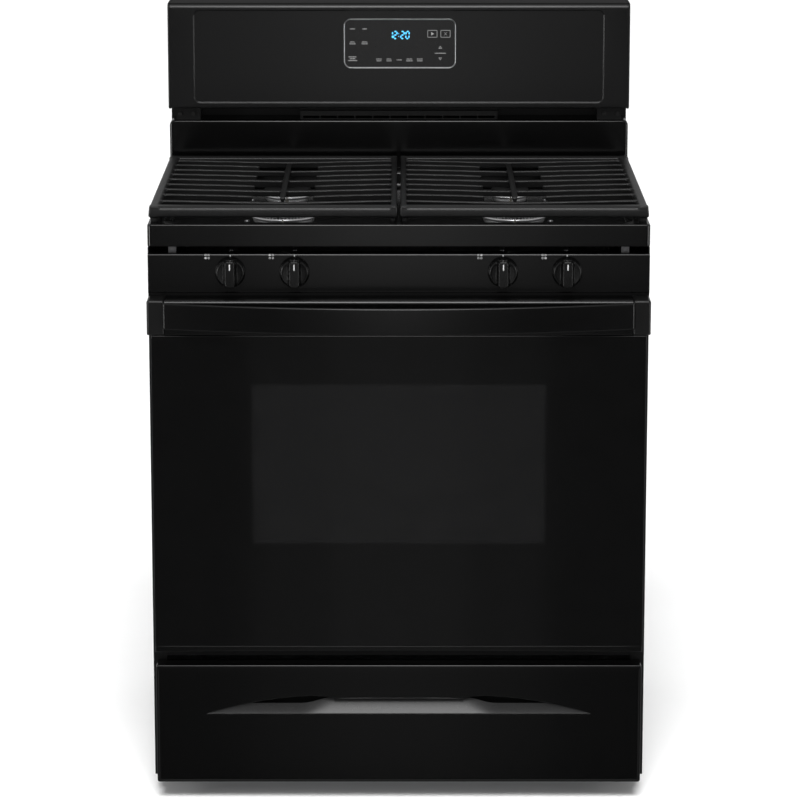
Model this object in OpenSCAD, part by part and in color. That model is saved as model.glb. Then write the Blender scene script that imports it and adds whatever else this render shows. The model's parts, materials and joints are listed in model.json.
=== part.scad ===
// Freestanding gas range, 30 inch class: four sealed burners under two full-width grates, a glass-front
// oven door with a bowed strap handle, a storage drawer with a scooped pull, and a rear console with a touch panel.
// Millimetres. +Z up, the front faces -Y, origin on the floor at the centre of the outline.

/* [Body] */
// width across the side panels
body_w = 759; // [752:1:762]
// thickness of the cabinet sheet metal
sheet = 1.5; // [1:0.1:2]
// height of the levelling legs under the cabinet
leg_h = 30; // [26:1:30]
// radius of the round foot under each leg
foot_r = 16; // [10:1:20]

/* [Cooktop] */
// height of the cooking surface's rim
rim_z = 899; // [897:1:900]
// depth of the burner well below the rim
well_drop = 26; // [24:1:28]
// radius of the front burners
burner_r_front = 51; // [40:1:52]
// radius of the rear left burner
burner_r_rear_left = 38.5; // [30:0.5:46]
// radius of the rear right burner
burner_r_rear_right = 31; // [26:0.5:46]

/* [Grates] */
// height of the grates' top
grate_top = 923.5; // [920:0.5:926]
// width of a grate bar at its top
bar_w = 7.5; // [6:0.5:9]
// height of a grate bar
bar_h = 11; // [9:1:12]
// half the clear width between a pair of grate fingers
finger_gap = 47; // [38:1:52]

/* [Knobs] */
// radius of the knob's skirt
knob_r = 22.7; // [20:0.1:24]
// width of the knob's grip
grip_w = 15; // [12:0.5:18]
// how far the grip stands out from the skirt
grip_out = 15; // [12:1:17]
// how far a knob can be pushed in
knob_push = 4; // [2:0.5:4.5]

/* [Door] */
// width of the window in the oven door
window_w = 453; // [380:1:460]
// height of the window in the oven door
window_h = 245; // [200:1:250]
// how far the handle bows forward at its middle
handle_bow = 44; // [36:1:44]
// height of the handle strap
handle_h = 40; // [34:1:41]

/* [Drawer] */
// height of the arch over the drawer's pull recess
pull_rise = 29; // [22:1:34]
// depth of the drawer's pull recess
pull_depth = 27; // [20:1:29]

/* [Hidden] */
$fn = 64;
eps = 0.2;
hx = body_w / 2;

// planes across the depth of the range, front to back
y_handle = -361;
y_door = -308;
y_door_back = -264.5;
y_drawer = -303;
y_skirt = -269;
y_panel = -266;
y_flange = -261;
y_frame = y_flange + sheet;
y_console = 277;
y_splash = 300;
// front legs stand well back, out of sight under the drawer
leg_front_y = -190;
y_rear = 361;
y_rear_in = y_rear - sheet;

// heights
z_drawer_bottom = 30;
z_drawer_top = 218;
z_door_bottom = 241;
z_glass_bottom = 250.5;
z_glass_top = 736;
z_door_top = 790;
z_panel_bottom = 793;
z_panel_top = 854;
z_side_top = 863;
z_skirt_bottom = 865;
z_well = rim_z - well_drop;
z_splash_top = 979;
z_console_bottom = 1000;
z_console_top = 1174;
z_window = 415;
z_knob = 826;

// door hinge axis
hinge_y = -278;
hinge_z = 256.5;
pin_r = 4;
fit_gap = 0.06;
ear_x = 331;
ear_w = 6;

// burners and knobs
burner_x = 179;
burner_y_front = -86;
burner_y_rear = 118;
knob_outer_x = 254.5;
knob_inner_x = 157.5;
stem_r = 4;
knob_back_y = -271.2;
skirt_t = 9;

// oven
cav_x = 303;
cav_z0 = 292;
cav_z1 = 730;
cav_back = 235;
rack_lower_z = 430;
rack_upper_z = 560;
rack_pitch = 65;
rack_r = 3;
rack_x = 294;
rack_front = -238;
rack_back = 215;

// grate layout, front to back: continuous bars and finger pairs
grate_front = -249;
grate_rear = 273;
grate_outer = hx - 1.5;
grate_inner = 2;
full_bars = [-189, -76, 28, 126, 223];
finger_bars = [-128, -25, 77, 177];
fore_finger_front = -137;
fore_finger_rear = 175;
rail_drop = 16;
pad_gap = 0.3;

// door handle
handle_x = 355;
handle_z = 747;
strap_t = 5;

// ---------- helpers ----------

// a box between two corners
module block(x0, x1, y0, y1, z0, z1) {
  translate([x0, y0, z0])
    cube([x1 - x0, y1 - y0, z1 - z0]);
}

// the same box on the left and on the right
module both(x0, x1, y0, y1, z0, z1) {
  block(x0, x1, y0, y1, z0, z1);
  block(-x1, -x0, y0, y1, z0, z1);
}

// a flat rectangle with round corners
module round_rect(x0, x1, z0, z1, r) {
  union() {
    translate([x0 + r, z0])
      square([x1 - x0 - 2 * r, z1 - z0]);
    translate([x0, z0 + r])
      square([x1 - x0, z1 - z0 - 2 * r]);
    for (x = [x0 + r, x1 - r])
      for (z = [z0 + r, z1 - r])
        translate([x, z])
          circle(r);
  }
}

// a flat outline in X and Z, thickened from its front face backwards
module upright(y_front, t) {
  translate([0, y_front + t, 0])
    rotate([90, 0, 0])
      linear_extrude(t)
        children();
}

// a round-cornered plate that faces the front
module face_plate(x0, x1, z0, z1, r, y_front, t) {
  upright(y_front, t)
    round_rect(x0, x1, z0, z1, r);
}

// a cylinder along Y between two planes
module rod_y(x, z, y0, y1, r) {
  translate([x, y1, z])
    rotate([90, 0, 0])
      cylinder(h = y1 - y0, r = r);
}

// a cylinder along X between two planes
module rod_x(y, z, x0, x1, r) {
  translate([x0, y, z])
    rotate([0, 90, 0])
      cylinder(h = x1 - x0, r = r);
}

// an outline in Y and Z, stretched along X
module along_x(x0, x1) {
  translate([x0, 0, 0])
    rotate([90, 0, 90])
      linear_extrude(x1 - x0)
        children();
}

// ---------- cabinet ----------

module side_panel() {
  return_w = 21;
  foot_flange = 28;
  block(-hx, -hx + sheet, y_flange, y_rear_in, leg_h, z_side_top);
  block(-hx, -hx + return_w, y_flange, y_flange + sheet, leg_h, z_door_top);
  block(-hx, -hx + foot_flange, y_flange, y_rear_in, leg_h, leg_h + sheet);
  block(-hx, -hx + return_w, y_flange + 40, y_rear_in, z_side_top - sheet, z_side_top);
  block(-hx, -hx + return_w, y_rear_in - sheet, y_rear_in, leg_h, z_side_top);
}

module side_panel_left() {
  color("#141414")
    side_panel();
}

module side_panel_right() {
  color("#141414")
    mirror([1, 0, 0])
      side_panel();
}

module rear_panel() {
  inlet_x = -230;
  color("#8c8f92")
    difference() {
      union() {
        face_plate(-hx + 1.5, hx - 1.5, leg_h + 40, z_side_top, 4, y_rear_in, sheet);
        for (x = [-240, -120, 0, 120, 240])
          block(x - 12, x + 12, y_rear_in - 4, y_rear_in, 420, 800);
      }
      block(inlet_x - 52, inlet_x + 52, y_rear_in - eps, y_rear + eps, leg_h + 68, leg_h + 172);
      for (x = [-240, -120, 0, 120, 240])
        block(x - 10, x + 10, y_rear_in - 2.5, y_rear + eps, 422, 798);
      for (x = [-300 : 60 : 300])
        for (z = [230, 250])
          block(x - 20, x + 20, y_rear_in - eps, y_rear + eps, z, z + 6);
    }
}

module base_frame() {
  rail_w = 54;
  z0 = leg_h + sheet;
  color("#5d6063")
    union() {
      for (s = [-1, 1])
        difference() {
          block(min(s * (hx - sheet - 0.5), s * (hx - sheet - rail_w)), max(s * (hx - sheet - 0.5), s * (hx - sheet - rail_w)),
            y_frame + 2, y_rear_in - 4, z0, z0 + 14);
          block(min(s * (hx - sheet - 3), s * (hx - sheet - rail_w + 2)), max(s * (hx - sheet - 3), s * (hx - sheet - rail_w + 2)),
            y_frame + 4, y_rear_in - 6, z0 + 2, z0 + 15);
        }
      block(-hx + rail_w, hx - rail_w, leg_front_y - 15, leg_front_y + 15, z0, z0 + 4);
      block(-hx + rail_w, hx - rail_w, 300, 330, z0, z0 + 4);
    }
}

module leveling_legs() {
  color("#2b2b2b")
    for (x = [-340, 340])
      for (y = [leg_front_y, 320])
        translate([x, y, 0])
          union() {
            rotate_extrude()
              polygon([[0, 0], [foot_r - 1, 0], [foot_r, 1], [foot_r, 6], [foot_r - 4, 9], [6, 10], [5, 10],
                [5, leg_h], [0, leg_h]]);
            translate([0, 0, 12])
              cylinder(h = 6, r = 8.5, $fn = 6);
            translate([0, 0, leg_h - 1])
              cylinder(h = 1 + sheet, r = 5);
          }
}

module burner_box() {
  color("#9a9c9e")
    difference() {
      block(-330, 330, -232, 245, 228, 284);
      block(-328.5, 328.5, -230.5, 243.5, 229.5, 290);
      for (x = [-250 : 50 : 250])
        block(x - 15, x + 15, -160, -152, 227, 230);
      rod_y(0, 262, 240, 250, 12.5);
    }
}

module front_frame() {
  open_x = 300;
  open_z0 = 296;
  open_z1 = 726;
  color("#1b1b1c")
    difference() {
      union() {
        face_plate(-hx + 2, hx - 2, 222, z_panel_bottom - 0.5, 2, y_frame, sheet);
        for (x = [ear_x, -ear_x - ear_w])
          union() {
            block(x, x + ear_w, hinge_y, y_frame + sheet, hinge_z - 7.5, hinge_z + 7.5);
            rod_x(hinge_y, hinge_z, x, x + ear_w, 7.5);
          }
      }
      face_plate(-open_x, open_x, open_z0, open_z1, 14, y_frame - 1, sheet + 2);
      for (x = [-280 : 70 : 280])
        face_plate(x - 24, x + 24, 771, 779, 3.8, y_frame - 1, sheet + 2);
      rod_x(hinge_y, hinge_z, -ear_x - ear_w - 1, ear_x + ear_w + 1, pin_r + fit_gap);
    }
}

module screws() {
  color("#c9cbcd") {
    // screws that hold the burners to the floor of the well
    for (s = [-1, 1])
      for (y = [burner_y_front, burner_y_rear])
        translate([s * 236, y, z_well])
          difference() {
            rotate_extrude()
              polygon([[0, 0], [4.5, 0], [4.5, 1], [3.4, 2.4], [0, 2.8]]);
            translate([-3, -0.5, 1.8])
              cube([6, 1, 2]);
          }
    // screws through the tabs under the front of the cooktop
    for (x = [-343, 343]) {
      block(x - 6, x + 6, -249, -247.5, z_panel_top, z_skirt_bottom - 2);
      rod_y(x, z_panel_top + 5.5, -251.5, -249, 3.5);
    }
    // screws that hold the console to its posts
    for (x = [-362, -340, 340, 362])
      rod_y(x, 989, y_splash - 3.2, y_splash, 3.2);
  }
}

// ---------- cooktop ----------

module cooktop() {
  wall = 2;
  well_x = hx - 21.5;
  well_front = -246;
  well_back = 258;
  color("#17181a")
    difference() {
      translate([0, 0, z_skirt_bottom])
        linear_extrude(rim_z - z_skirt_bottom)
          round_rect(-hx, hx, y_skirt, y_splash, 6);
      translate([0, 0, z_well])
        linear_extrude(well_drop + 1)
          round_rect(-well_x, well_x, well_front, well_back, 24);
      difference() {
        translate([0, 0, z_skirt_bottom - 1])
          linear_extrude(rim_z - z_skirt_bottom + 1 - wall)
            round_rect(-hx + wall, hx - wall, y_skirt + wall, y_splash - wall, 4);
        translate([0, 0, z_well - wall])
          linear_extrude(well_drop + 1)
            round_rect(-well_x - wall, well_x + wall, well_front - wall, well_back + wall, 26);
      }
      for (s = [-1, 1])
        for (y = [burner_y_front, burner_y_rear])
          translate([s * burner_x, y, z_well - 5])
            cylinder(h = 10, r = 17);
    }
}

module burner_base(r) {
  // throat under the well floor, flared head and a ring of ports
  rotate_extrude()
    polygon([[0, z_well - 15], [14, z_well - 15], [14, z_well - 1], [16.5, z_well - 1], [16.5, z_well],
      [r - 6, z_well], [r - 4, z_well + 2], [r, z_well + 8], [r, z_well + 9.5], [r - 4.5, z_well + 10.5],
      [r - 4.5, z_well + 14.5], [0, z_well + 14.5]]);
}

module burner_cap(r) {
  rotate_extrude()
    polygon([[0, z_well + 14.5], [r - 1.2, z_well + 14.5], [r, z_well + 15.6], [r, z_well + 19], [r - 1, z_well + 20.6],
      [r - 3.5, z_well + 21.8], [r * 0.55, z_well + 22.8], [0, z_well + 23.2]]);
}

module at_burners() {
  translate([-burner_x, burner_y_front, 0])
    children(0);
  translate([burner_x, burner_y_front, 0])
    children(0);
  translate([-burner_x, burner_y_rear, 0])
    children(1);
  translate([burner_x, burner_y_rear, 0])
    children(2);
}

module burner_bases() {
  color("#b9babb")
    at_burners() {
      burner_base(burner_r_front);
      burner_base(burner_r_rear_left);
      burner_base(burner_r_rear_right);
    }
}

module burner_caps() {
  color("#161616")
    at_burners() {
      burner_cap(burner_r_front - 1);
      burner_cap(burner_r_rear_left - 1);
      burner_cap(burner_r_rear_right - 1);
    }
}

module electrode(r) {
  // ceramic body with a steel tip, standing just outside the burner
  translate([0, -r - 6, z_well])
    union() {
      cylinder(h = 3, r = 4);
      cylinder(h = 9, r = 2.6);
      cylinder(h = 12.5, r = 1);
    }
}

module spark_electrodes() {
  color("#e6e2d8")
    at_burners() {
      electrode(burner_r_front);
      electrode(burner_r_rear_left);
      electrode(burner_r_rear_right);
    }
}

// ---------- grates ----------

// cross-section of a grate bar: slightly wider at its foot, with a chamfered top
module bar_section(w, h) {
  polygon([[-w / 2 - 0.8, -h], [w / 2 + 0.8, -h], [w / 2, -1.4], [w / 2 - 1.4, 0], [-w / 2 + 1.4, 0], [-w / 2, -1.4]]);
}

module bar_x(x0, x1, y, w, h) {
  translate([x0, y, grate_top])
    rotate([90, 0, 90])
      linear_extrude(x1 - x0)
        bar_section(w, h);
}

module bar_y(x, y0, y1, w, h) {
  translate([x, y1, grate_top])
    rotate([90, 0, 0])
      linear_extrude(y1 - y0)
        bar_section(w, h);
}

// the right-hand grate; the left one is its mirror image
module grate() {
  outer_top = grate_outer - 16;
  z0 = grate_top - rail_drop;
  union() {
    // front and rear rails
    along_x(grate_inner, grate_outer)
      polygon([[grate_front + 5, z0], [grate_front + 20, z0], [grate_front + 20, grate_top - 1.5],
        [grate_front + 18.5, grate_top], [grate_front + 4, grate_top], [grate_front, grate_top - 4],
        [grate_front, z0 + 5]]);
    along_x(grate_inner, grate_outer)
      polygon([[grate_rear - 24, z0], [grate_rear - 2, z0], [grate_rear, z0 + 2], [grate_rear, grate_top - 3],
        [grate_rear - 3, grate_top], [grate_rear - 22.5, grate_top], [grate_rear - 24, grate_top - 1.5]]);
    // outer rail, flared outwards to its foot, and inner rail
    translate([0, grate_rear, 0])
      rotate([90, 0, 0])
        linear_extrude(grate_rear - grate_front)
          polygon([[outer_top, grate_top - 1.2], [outer_top + 1.2, grate_top], [grate_outer - 2, grate_top],
            [grate_outer, grate_top - 2], [grate_outer + 2.5, z0], [outer_top - 1, z0]]);
    bar_y(grate_inner + 5, grate_front, grate_rear, 10, rail_drop);
    // continuous cross bars
    for (y = full_bars)
      bar_x(grate_inner + 2, outer_top + 4, y, bar_w, bar_h);
    bar_x(grate_inner + 2, outer_top + 4, full_bars[2], bar_w + 1.5, bar_h + 2);
    // finger pairs over each burner
    for (y = finger_bars) {
      bar_x(grate_inner + 2, burner_x - finger_gap, y, bar_w, bar_h);
      bar_x(burner_x + finger_gap, outer_top + 4, y, bar_w, bar_h);
    }
    // fore-and-aft fingers across the burners
    bar_y(burner_x, fore_finger_front, fore_finger_rear, bar_w, bar_h);
    // sockets for the feet
    for (y = [grate_front + 10, grate_rear - 8]) {
      translate([grate_inner + 7, y, z0 - 3])
        cylinder(h = 4, r = 4.8);
      translate([grate_outer - 8, y, z0 - 3])
        cylinder(h = 4, r = 7);
    }
    translate([grate_outer - 8, full_bars[2], z0 - 3])
      cylinder(h = 4, r = 7);
  }
}

module grate_left() {
  color("#2a2b2c")
    mirror([1, 0, 0])
      grate();
}

module grate_right() {
  color("#2a2b2c")
    grate();
}

module grate_feet() {
  z0 = rim_z + pad_gap;
  z1 = grate_top - rail_drop - 3;
  for (y = [grate_front + 10, grate_rear - 8]) {
    translate([grate_inner + 7, y, z0])
      cylinder(h = z1 - z0, r1 = 3.8, r2 = 4.4);
    translate([grate_outer - 8, y, z0])
      cylinder(h = z1 - z0, r1 = 5.6, r2 = 6.4);
  }
  translate([grate_outer - 8, full_bars[2], z0])
    cylinder(h = z1 - z0, r1 = 5.6, r2 = 6.4);
}

module grate_feet_left() {
  color("#101010")
    mirror([1, 0, 0])
      grate_feet();
}

module grate_feet_right() {
  color("#101010")
    grate_feet();
}

// ---------- knobs and gas parts ----------

module manifold_panel() {
  color("#151617")
    difference() {
      union() {
        block(-hx, hx, y_panel, y_panel + sheet, z_panel_bottom, z_panel_top);
        both(hx - sheet, hx, y_panel, y_flange - 0.1, z_panel_bottom, z_panel_top);
        block(-hx + 2, hx - 2, y_panel, y_panel + 24, z_panel_top - sheet, z_panel_top);
        block(-hx + 2, hx - 2, y_panel, y_panel + 24, z_panel_bottom, z_panel_bottom + sheet);
      }
      for (x = [-knob_outer_x, -knob_inner_x, knob_inner_x, knob_outer_x])
        rod_y(x, z_knob, y_panel - 1, y_panel + sheet + 1, 6);
    }
}

// flat-sided round section shared by the valve stem and the knob's socket
module stem_section(r) {
  difference() {
    circle(r);
    translate([-r - 1, stem_r - 1.2 + (r - stem_r)])
      square([2 * r + 2, r + 1]);
  }
}

module knob() {
  socket_y = -288.5;
  skirt_front = knob_back_y - skirt_t;
  grip_front = skirt_front - grip_out;
  difference() {
    union() {
      translate([0, knob_back_y, 0])
        rotate([90, 0, 0])
          rotate_extrude()
            polygon([[0, 0], [knob_r, 0], [knob_r, 2.6], [knob_r - 1.2, skirt_t - 1], [knob_r - 2.4, skirt_t], [0, skirt_t]]);
      intersection() {
        translate([0, skirt_front + 1, 0])
          rotate([90, 0, 0])
            cylinder(h = grip_out + 1, r1 = knob_r - 1.4, r2 = knob_r - 3);
        linear_extrude(2 * knob_r + 2, center = true)
          polygon([[-grip_w / 2 - 0.8, skirt_front + 1], [-grip_w / 2, grip_front + 1.6], [-grip_w / 2 + 1.6, grip_front],
            [grip_w / 2 - 1.6, grip_front], [grip_w / 2, grip_front + 1.6], [grip_w / 2 + 0.8, skirt_front + 1]]);
      }
    }
    translate([0, knob_back_y + 1, 0])
      rotate([90, 0, 0])
        linear_extrude(knob_back_y + 1 - socket_y)
          stem_section(stem_r + fit_gap);
  }
}

module valve_stem() {
  tip_y = socket_clear();
  root_y = -236;
  union() {
    translate([0, -258, 0])
      rotate([90, 0, 0])
        linear_extrude(-258 - tip_y)
          stem_section(stem_r);
    translate([0, root_y, 0])
      rotate([90, 0, 0])
        cylinder(h = root_y + 258, r = stem_r);
  }
}

// the stem stops short of the socket's end by the push travel and a little more
function socket_clear() = -288.5 + knob_push + 0.5;

module at_knob(x) {
  translate([x, 0, z_knob])
    children();
}

module knob_left_outer() {
  color("#1a1a1b")
    at_knob(-knob_outer_x)
      knob();
}

module knob_left_inner() {
  color("#1a1a1b")
    at_knob(-knob_inner_x)
      knob();
}

module knob_right_inner() {
  color("#1a1a1b")
    at_knob(knob_inner_x)
      knob();
}

module knob_right_outer() {
  color("#1a1a1b")
    at_knob(knob_outer_x)
      knob();
}

module valve_stem_left_outer() {
  color("#c4a24a")
    at_knob(-knob_outer_x)
      valve_stem();
}

module valve_stem_left_inner() {
  color("#c4a24a")
    at_knob(-knob_inner_x)
      valve_stem();
}

module valve_stem_right_inner() {
  color("#c4a24a")
    at_knob(knob_inner_x)
      valve_stem();
}

module valve_stem_right_outer() {
  color("#c4a24a")
    at_knob(knob_outer_x)
      valve_stem();
}

module valve_bodies() {
  color("#b8923a")
    for (x = [-knob_outer_x, -knob_inner_x, knob_inner_x, knob_outer_x])
      translate([x, 0, z_knob])
        difference() {
          union() {
            rod_y(0, 0, -246, -236, 9);
            block(-11, 11, -240, -214.5, -11, 11);
            translate([0, -228, 10])
              cylinder(h = 7, r = 6.5, $fn = 6);
          }
          rod_y(0, 0, -247, -235, stem_r + fit_gap);
        }
}

module gas_manifold() {
  // feed pipe: from the regulator across behind the drawer, up the right side and forward to the manifold
  pipe_r = 7;
  pipe_x = 352;
  reg_x = -204;
  reg_y = 300;
  reg_z = 150;
  bar_y0 = -214.5;
  bar_y1 = -195.5;
  bar_mid = (bar_y0 + bar_y1) / 2;
  color("#a9abad")
    difference() {
      union() {
        block(-310, 330, bar_y0, bar_y1, z_knob - 9.5, z_knob + 9.5);
        block(-330, -310, bar_y0 - 1.5, bar_y1 + 1.5, z_knob - 11, z_knob + 11);
        rod_x(reg_y, reg_z, reg_x, pipe_x, pipe_r);
        translate([pipe_x, reg_y, reg_z])
          sphere(pipe_r);
        translate([pipe_x, reg_y, reg_z])
          cylinder(h = z_knob - reg_z, r = pipe_r);
        translate([pipe_x, reg_y, z_knob])
          sphere(pipe_r);
        rod_y(pipe_x, z_knob, bar_mid, reg_y, pipe_r);
        translate([pipe_x, bar_mid, z_knob])
          sphere(pipe_r);
        rod_x(bar_mid, z_knob, 329, pipe_x, pipe_r);
      }
      block(-308, 328, bar_y0 + 1.5, bar_y1 - 1.5, z_knob - 8, z_knob + 8);
    }
}

// one aluminium tube: up from the valve, back under the well, across, and up into the burner's throat
module gas_tube(x, bx, by) {
  r = 4;
  z0 = z_knob + 17;
  z1 = z_well - 21;
  union() {
    translate([x, -228, z0])
      cylinder(h = z1 - z0, r = r);
    translate([x, -228, z1])
      sphere(r);
    rod_y(x, z1, -228, by, r);
    translate([x, by, z1])
      sphere(r);
    rod_x(by, z1, min(x, bx), max(x, bx), r);
    translate([bx, by, z1])
      sphere(r);
    translate([bx, by, z1])
      cylinder(h = z_well - 15 - z1, r = r);
  }
}

module gas_tubes() {
  color("#c8cacc") {
    gas_tube(-knob_outer_x, -burner_x, burner_y_front);
    gas_tube(-knob_inner_x, -burner_x, burner_y_rear);
    gas_tube(knob_inner_x, burner_x, burner_y_rear);
    gas_tube(knob_outer_x, burner_x, burner_y_front);
  }
}

// regulator at the lower rear, with the threaded inlet facing the back
module gas_regulator() {
  rx = -230;
  ry = 300;
  rz = 150;
  inlet_r = 9.5;
  color("#9ea0a2")
    difference() {
      union() {
        block(rx - 26, rx + 26, ry - 22, ry + 22, rz - 22, rz + 22);
        translate([rx, ry, rz + 21])
          cylinder(h = 14, r = 18);
        rod_y(rx, rz, ry + 20, 352, 15);
      }
      rod_y(rx, rz, 337, 353, inlet_r);
    }
}

// ---------- oven ----------

module oven_cavity() {
  wall = 1.5;
  ledge_w = 14;
  color("#3c3e42")
    difference() {
      union() {
        difference() {
          union() {
            block(-cav_x - wall, cav_x + wall, y_frame + sheet, cav_back + wall, cav_z0 - wall, cav_z1 + wall);
            block(-cav_x - 14, cav_x + 14, y_frame + sheet, y_frame + 2 * sheet, cav_z0 - 4, cav_z1 + 14);
          }
          block(-cav_x, cav_x, y_frame - 1, cav_back, cav_z0, cav_z1);
        }
        // pressed ledges that carry the racks
        for (i = [-1 : 3])
          both(cav_x - ledge_w, cav_x + 0.5, -246, 222,
            rack_lower_z + i * rack_pitch - 7, rack_lower_z + i * rack_pitch - rack_r - 0.4);
      }
      // flame slots along both sides of the floor, and holes for the light and the probe
      for (y = [-200 : 80 : 200])
        both(cav_x - 26, cav_x - 18, y - 30, y + 30, cav_z0 - wall - 1, cav_z0 + 1);
      rod_y(238, 690, cav_back - 1, cav_back + wall + 1, 16.5);
      rod_y(-238, 690, cav_back - 1, cav_back + wall + 1, 3.3);
    }
}

module oven_bottom_panel() {
  z0 = cav_z0 + 0.3;
  color("#46484c")
    difference() {
      union() {
        block(-274, 274, -244, 226, z0 + 6, z0 + 7.5);
        both(272.5, 274, -244, 226, z0, z0 + 7.5);
        block(-274, 274, -244, -242.5, z0, z0 + 16);
      }
      for (x = [-250, 250])
        face_hole_z(x, -10, 160, 8, z0 + 5, 4);
      for (x = [-120, 120])
        face_hole_z(x, 200, 24, 14, z0 + 5, 4);
    }
}

// a slot through a horizontal sheet, long in Y
module face_hole_z(x, y, l, w, z0, h) {
  translate([x, y, z0])
    union() {
      translate([-w / 2, -l / 2, 0])
        cube([w, l, h]);
      for (s = [-1, 1])
        translate([0, s * l / 2, 0])
          cylinder(h = h, r = w / 2);
    }
}

module insulation() {
  color("#d8cfae")
    difference() {
      block(-342, 342, -250, 262, 292, 764);
      block(-cav_x - 2, cav_x + 2, -260, cav_back + 2, 280, cav_z1 + 2);
      // clear of the face flange around the mouth
      block(-cav_x - 15, cav_x + 15, -260, -249, 280, cav_z1 + 15);
      rod_y(238, 690, 230, 270, 24);
      rod_y(-238, 690, 230, 270, 6);
    }
}

module rack(z) {
  // outer loop
  for (x = [-rack_x, rack_x])
    rod_y(x, z, rack_front, rack_back, rack_r);
  rod_x(rack_front, z, -rack_x, rack_x, rack_r);
  rod_x(rack_back, z, -rack_x, rack_x, rack_r);
  for (x = [-rack_x, rack_x])
    for (y = [rack_front, rack_back])
      translate([x, y, z])
        sphere(rack_r);
  // raised stop along the back
  rod_x(rack_back, z + 14, -rack_x, rack_x, rack_r);
  for (x = [-rack_x, 0, rack_x])
    translate([x, rack_back, z])
      cylinder(h = 14, r = rack_r);
  for (x = [-rack_x, rack_x])
    translate([x, rack_back, z + 14])
      sphere(rack_r);
  // cross support and the long wires that carry the pan
  rod_x(-20, z - 0.5, -rack_x, rack_x, 2.6);
  for (i = [-10 : 10])
    rod_y(i * 26.5, z + 2, rack_front, rack_back, 1.9);
}

module rack_upper() {
  color("#b6b8ba")
    rack(rack_upper_z);
}

module rack_lower() {
  color("#b6b8ba")
    rack(rack_lower_z);
}

module oven_burner() {
  color("#8f9193")
    union() {
      difference() {
        rod_y(0, 262, -190, 262, 11);
        rod_y(0, 262, -180, 263, 9.6);
        for (y = [-170 : 17 : 204])
          for (a = [-55, 55])
            translate([0, y, 262])
              rotate([0, a, 0])
                cylinder(h = 14, r = 1.6);
      }
      // flame spreader on two legs
      along_y_sheet(-190, 210);
      both(20, 22, -150, -130, 229.5, 278.5);
      both(20, 22, 150, 170, 229.5, 278.5);
    }
}

// shallow roof-shaped sheet over the burner tube
module along_y_sheet(y0, y1) {
  translate([0, y1, 0])
    rotate([90, 0, 0])
      linear_extrude(y1 - y0)
        polygon([[-80, 272], [0, 280], [80, 272], [80, 273.5], [0, 281.5], [-80, 273.5]]);
}

module oven_igniter() {
  color("#d7d3c6")
    union() {
      block(34, 52, 60, 130, 246, 262);
      rod_y(43, 254, 130, 150, 6);
      block(52, 54, 70, 90, 229.5, 262);
    }
}

module oven_light() {
  color("#efe9d6")
    union() {
      rod_y(238, 690, cav_back, 262, 16);
      difference() {
        rod_y(238, 690, cav_back - 6, cav_back, 26);
        rod_y(238, 690, cav_back - 3, cav_back + 1, 22);
      }
      rod_y(238, 690, cav_back - 5, cav_back + 1, 14);
      translate([238, cav_back - 6, 690])
        intersection() {
          sphere(20);
          block(-25, 25, -25, 0, -25, 25);
        }
    }
}

module temperature_probe() {
  color("#c7c9cb")
    union() {
      rod_y(-238, 690, cav_back - 115, cav_back + 28, 3);
      translate([-238, cav_back - 115, 690])
        sphere(3);
      block(-250, -226, cav_back - 1.2, cav_back, 684, 696);
    }
}

// ---------- oven door ----------

module door_outer_glass() {
  color("#0c0c0d")
    face_plate(-373.5, 373.5, z_glass_bottom, z_glass_top, 3, y_door, 4);
}

module door_inner_glass() {
  color("#26282b")
    face_plate(-window_w / 2 - 12, window_w / 2 + 12, z_window - 12, z_window + window_h + 12, 6, -276, 4);
}

module door_frame() {
  y0 = y_door + 4.2;
  color("#202123")
    difference() {
      face_plate(-371, 371, z_glass_bottom + 0.5, z_glass_top, 3, y0, -284 - y0);
      face_plate(-window_w / 2 - 2, window_w / 2 + 2, z_window - 2, z_window + window_h + 2, 14, y0 - 1, 40);
      // hollow behind the frame's border
      face_plate(-352, -window_w / 2 - 20, z_window - 120, z_glass_top - 16, 6, y0 + 2, 40);
      face_plate(window_w / 2 + 20, 352, z_window - 120, z_glass_top - 16, 6, y0 + 2, 40);
      door_hinge_slots();
    }
}

module door_liner() {
  y0 = -284;
  color("#2f3135")
    difference() {
      face_plate(-352, 352, 252, z_glass_top - 2, 8, y0, y_door_back - y0);
      face_plate(-window_w / 2, window_w / 2, z_window, z_window + window_h, 12, y0 - 1, 40);
      face_plate(-window_w / 2 - 13, window_w / 2 + 13, z_window - 13, z_window + window_h + 13, 7, y0 - 1, 13);
      // shallow pressed border around the window
      difference() {
        face_plate(-300, 300, z_window - 70, z_window + window_h + 50, 30, y_door_back - 2, 3);
        face_plate(-285, 285, z_window - 55, z_window + window_h + 35, 22, y_door_back - 3, 5);
      }
      door_hinge_slots();
    }
}

// slots through the door's lower edge for the ears it turns on
module door_hinge_slots() {
  for (x = [ear_x - 8, -ear_x - ear_w - 8])
    block(x, x + ear_w + 16, hinge_y - 9, y_frame, z_door_bottom - 10, hinge_z + 9.5);
}

module door_hinges() {
  // a clevis on both sides of each ear, and the pin through it
  color("#8d8f91")
    union() {
      for (s = [-1, 1]) {
        mid = s * (ear_x + ear_w / 2);
        rod_x(hinge_y, hinge_z, mid - 10.5, mid + 10.5, pin_r);
        for (t = [-1, 1]) {
          xc = mid + t * 7;
          block(xc - 2.8, xc + 2.8, hinge_y - 6, hinge_y + 6, hinge_z - 4.3, hinge_z + 9.2);
        }
      }
    }
}

module door_bottom_trim() {
  color("#101112")
    difference() {
      block(-373.5, 373.5, y_door, hinge_y - 3, z_door_bottom, z_glass_bottom);
      block(-370, 370, y_door + 3, hinge_y - 5, z_door_bottom + 2, z_glass_bottom - 2);
      door_hinge_slots();
    }
}

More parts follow.
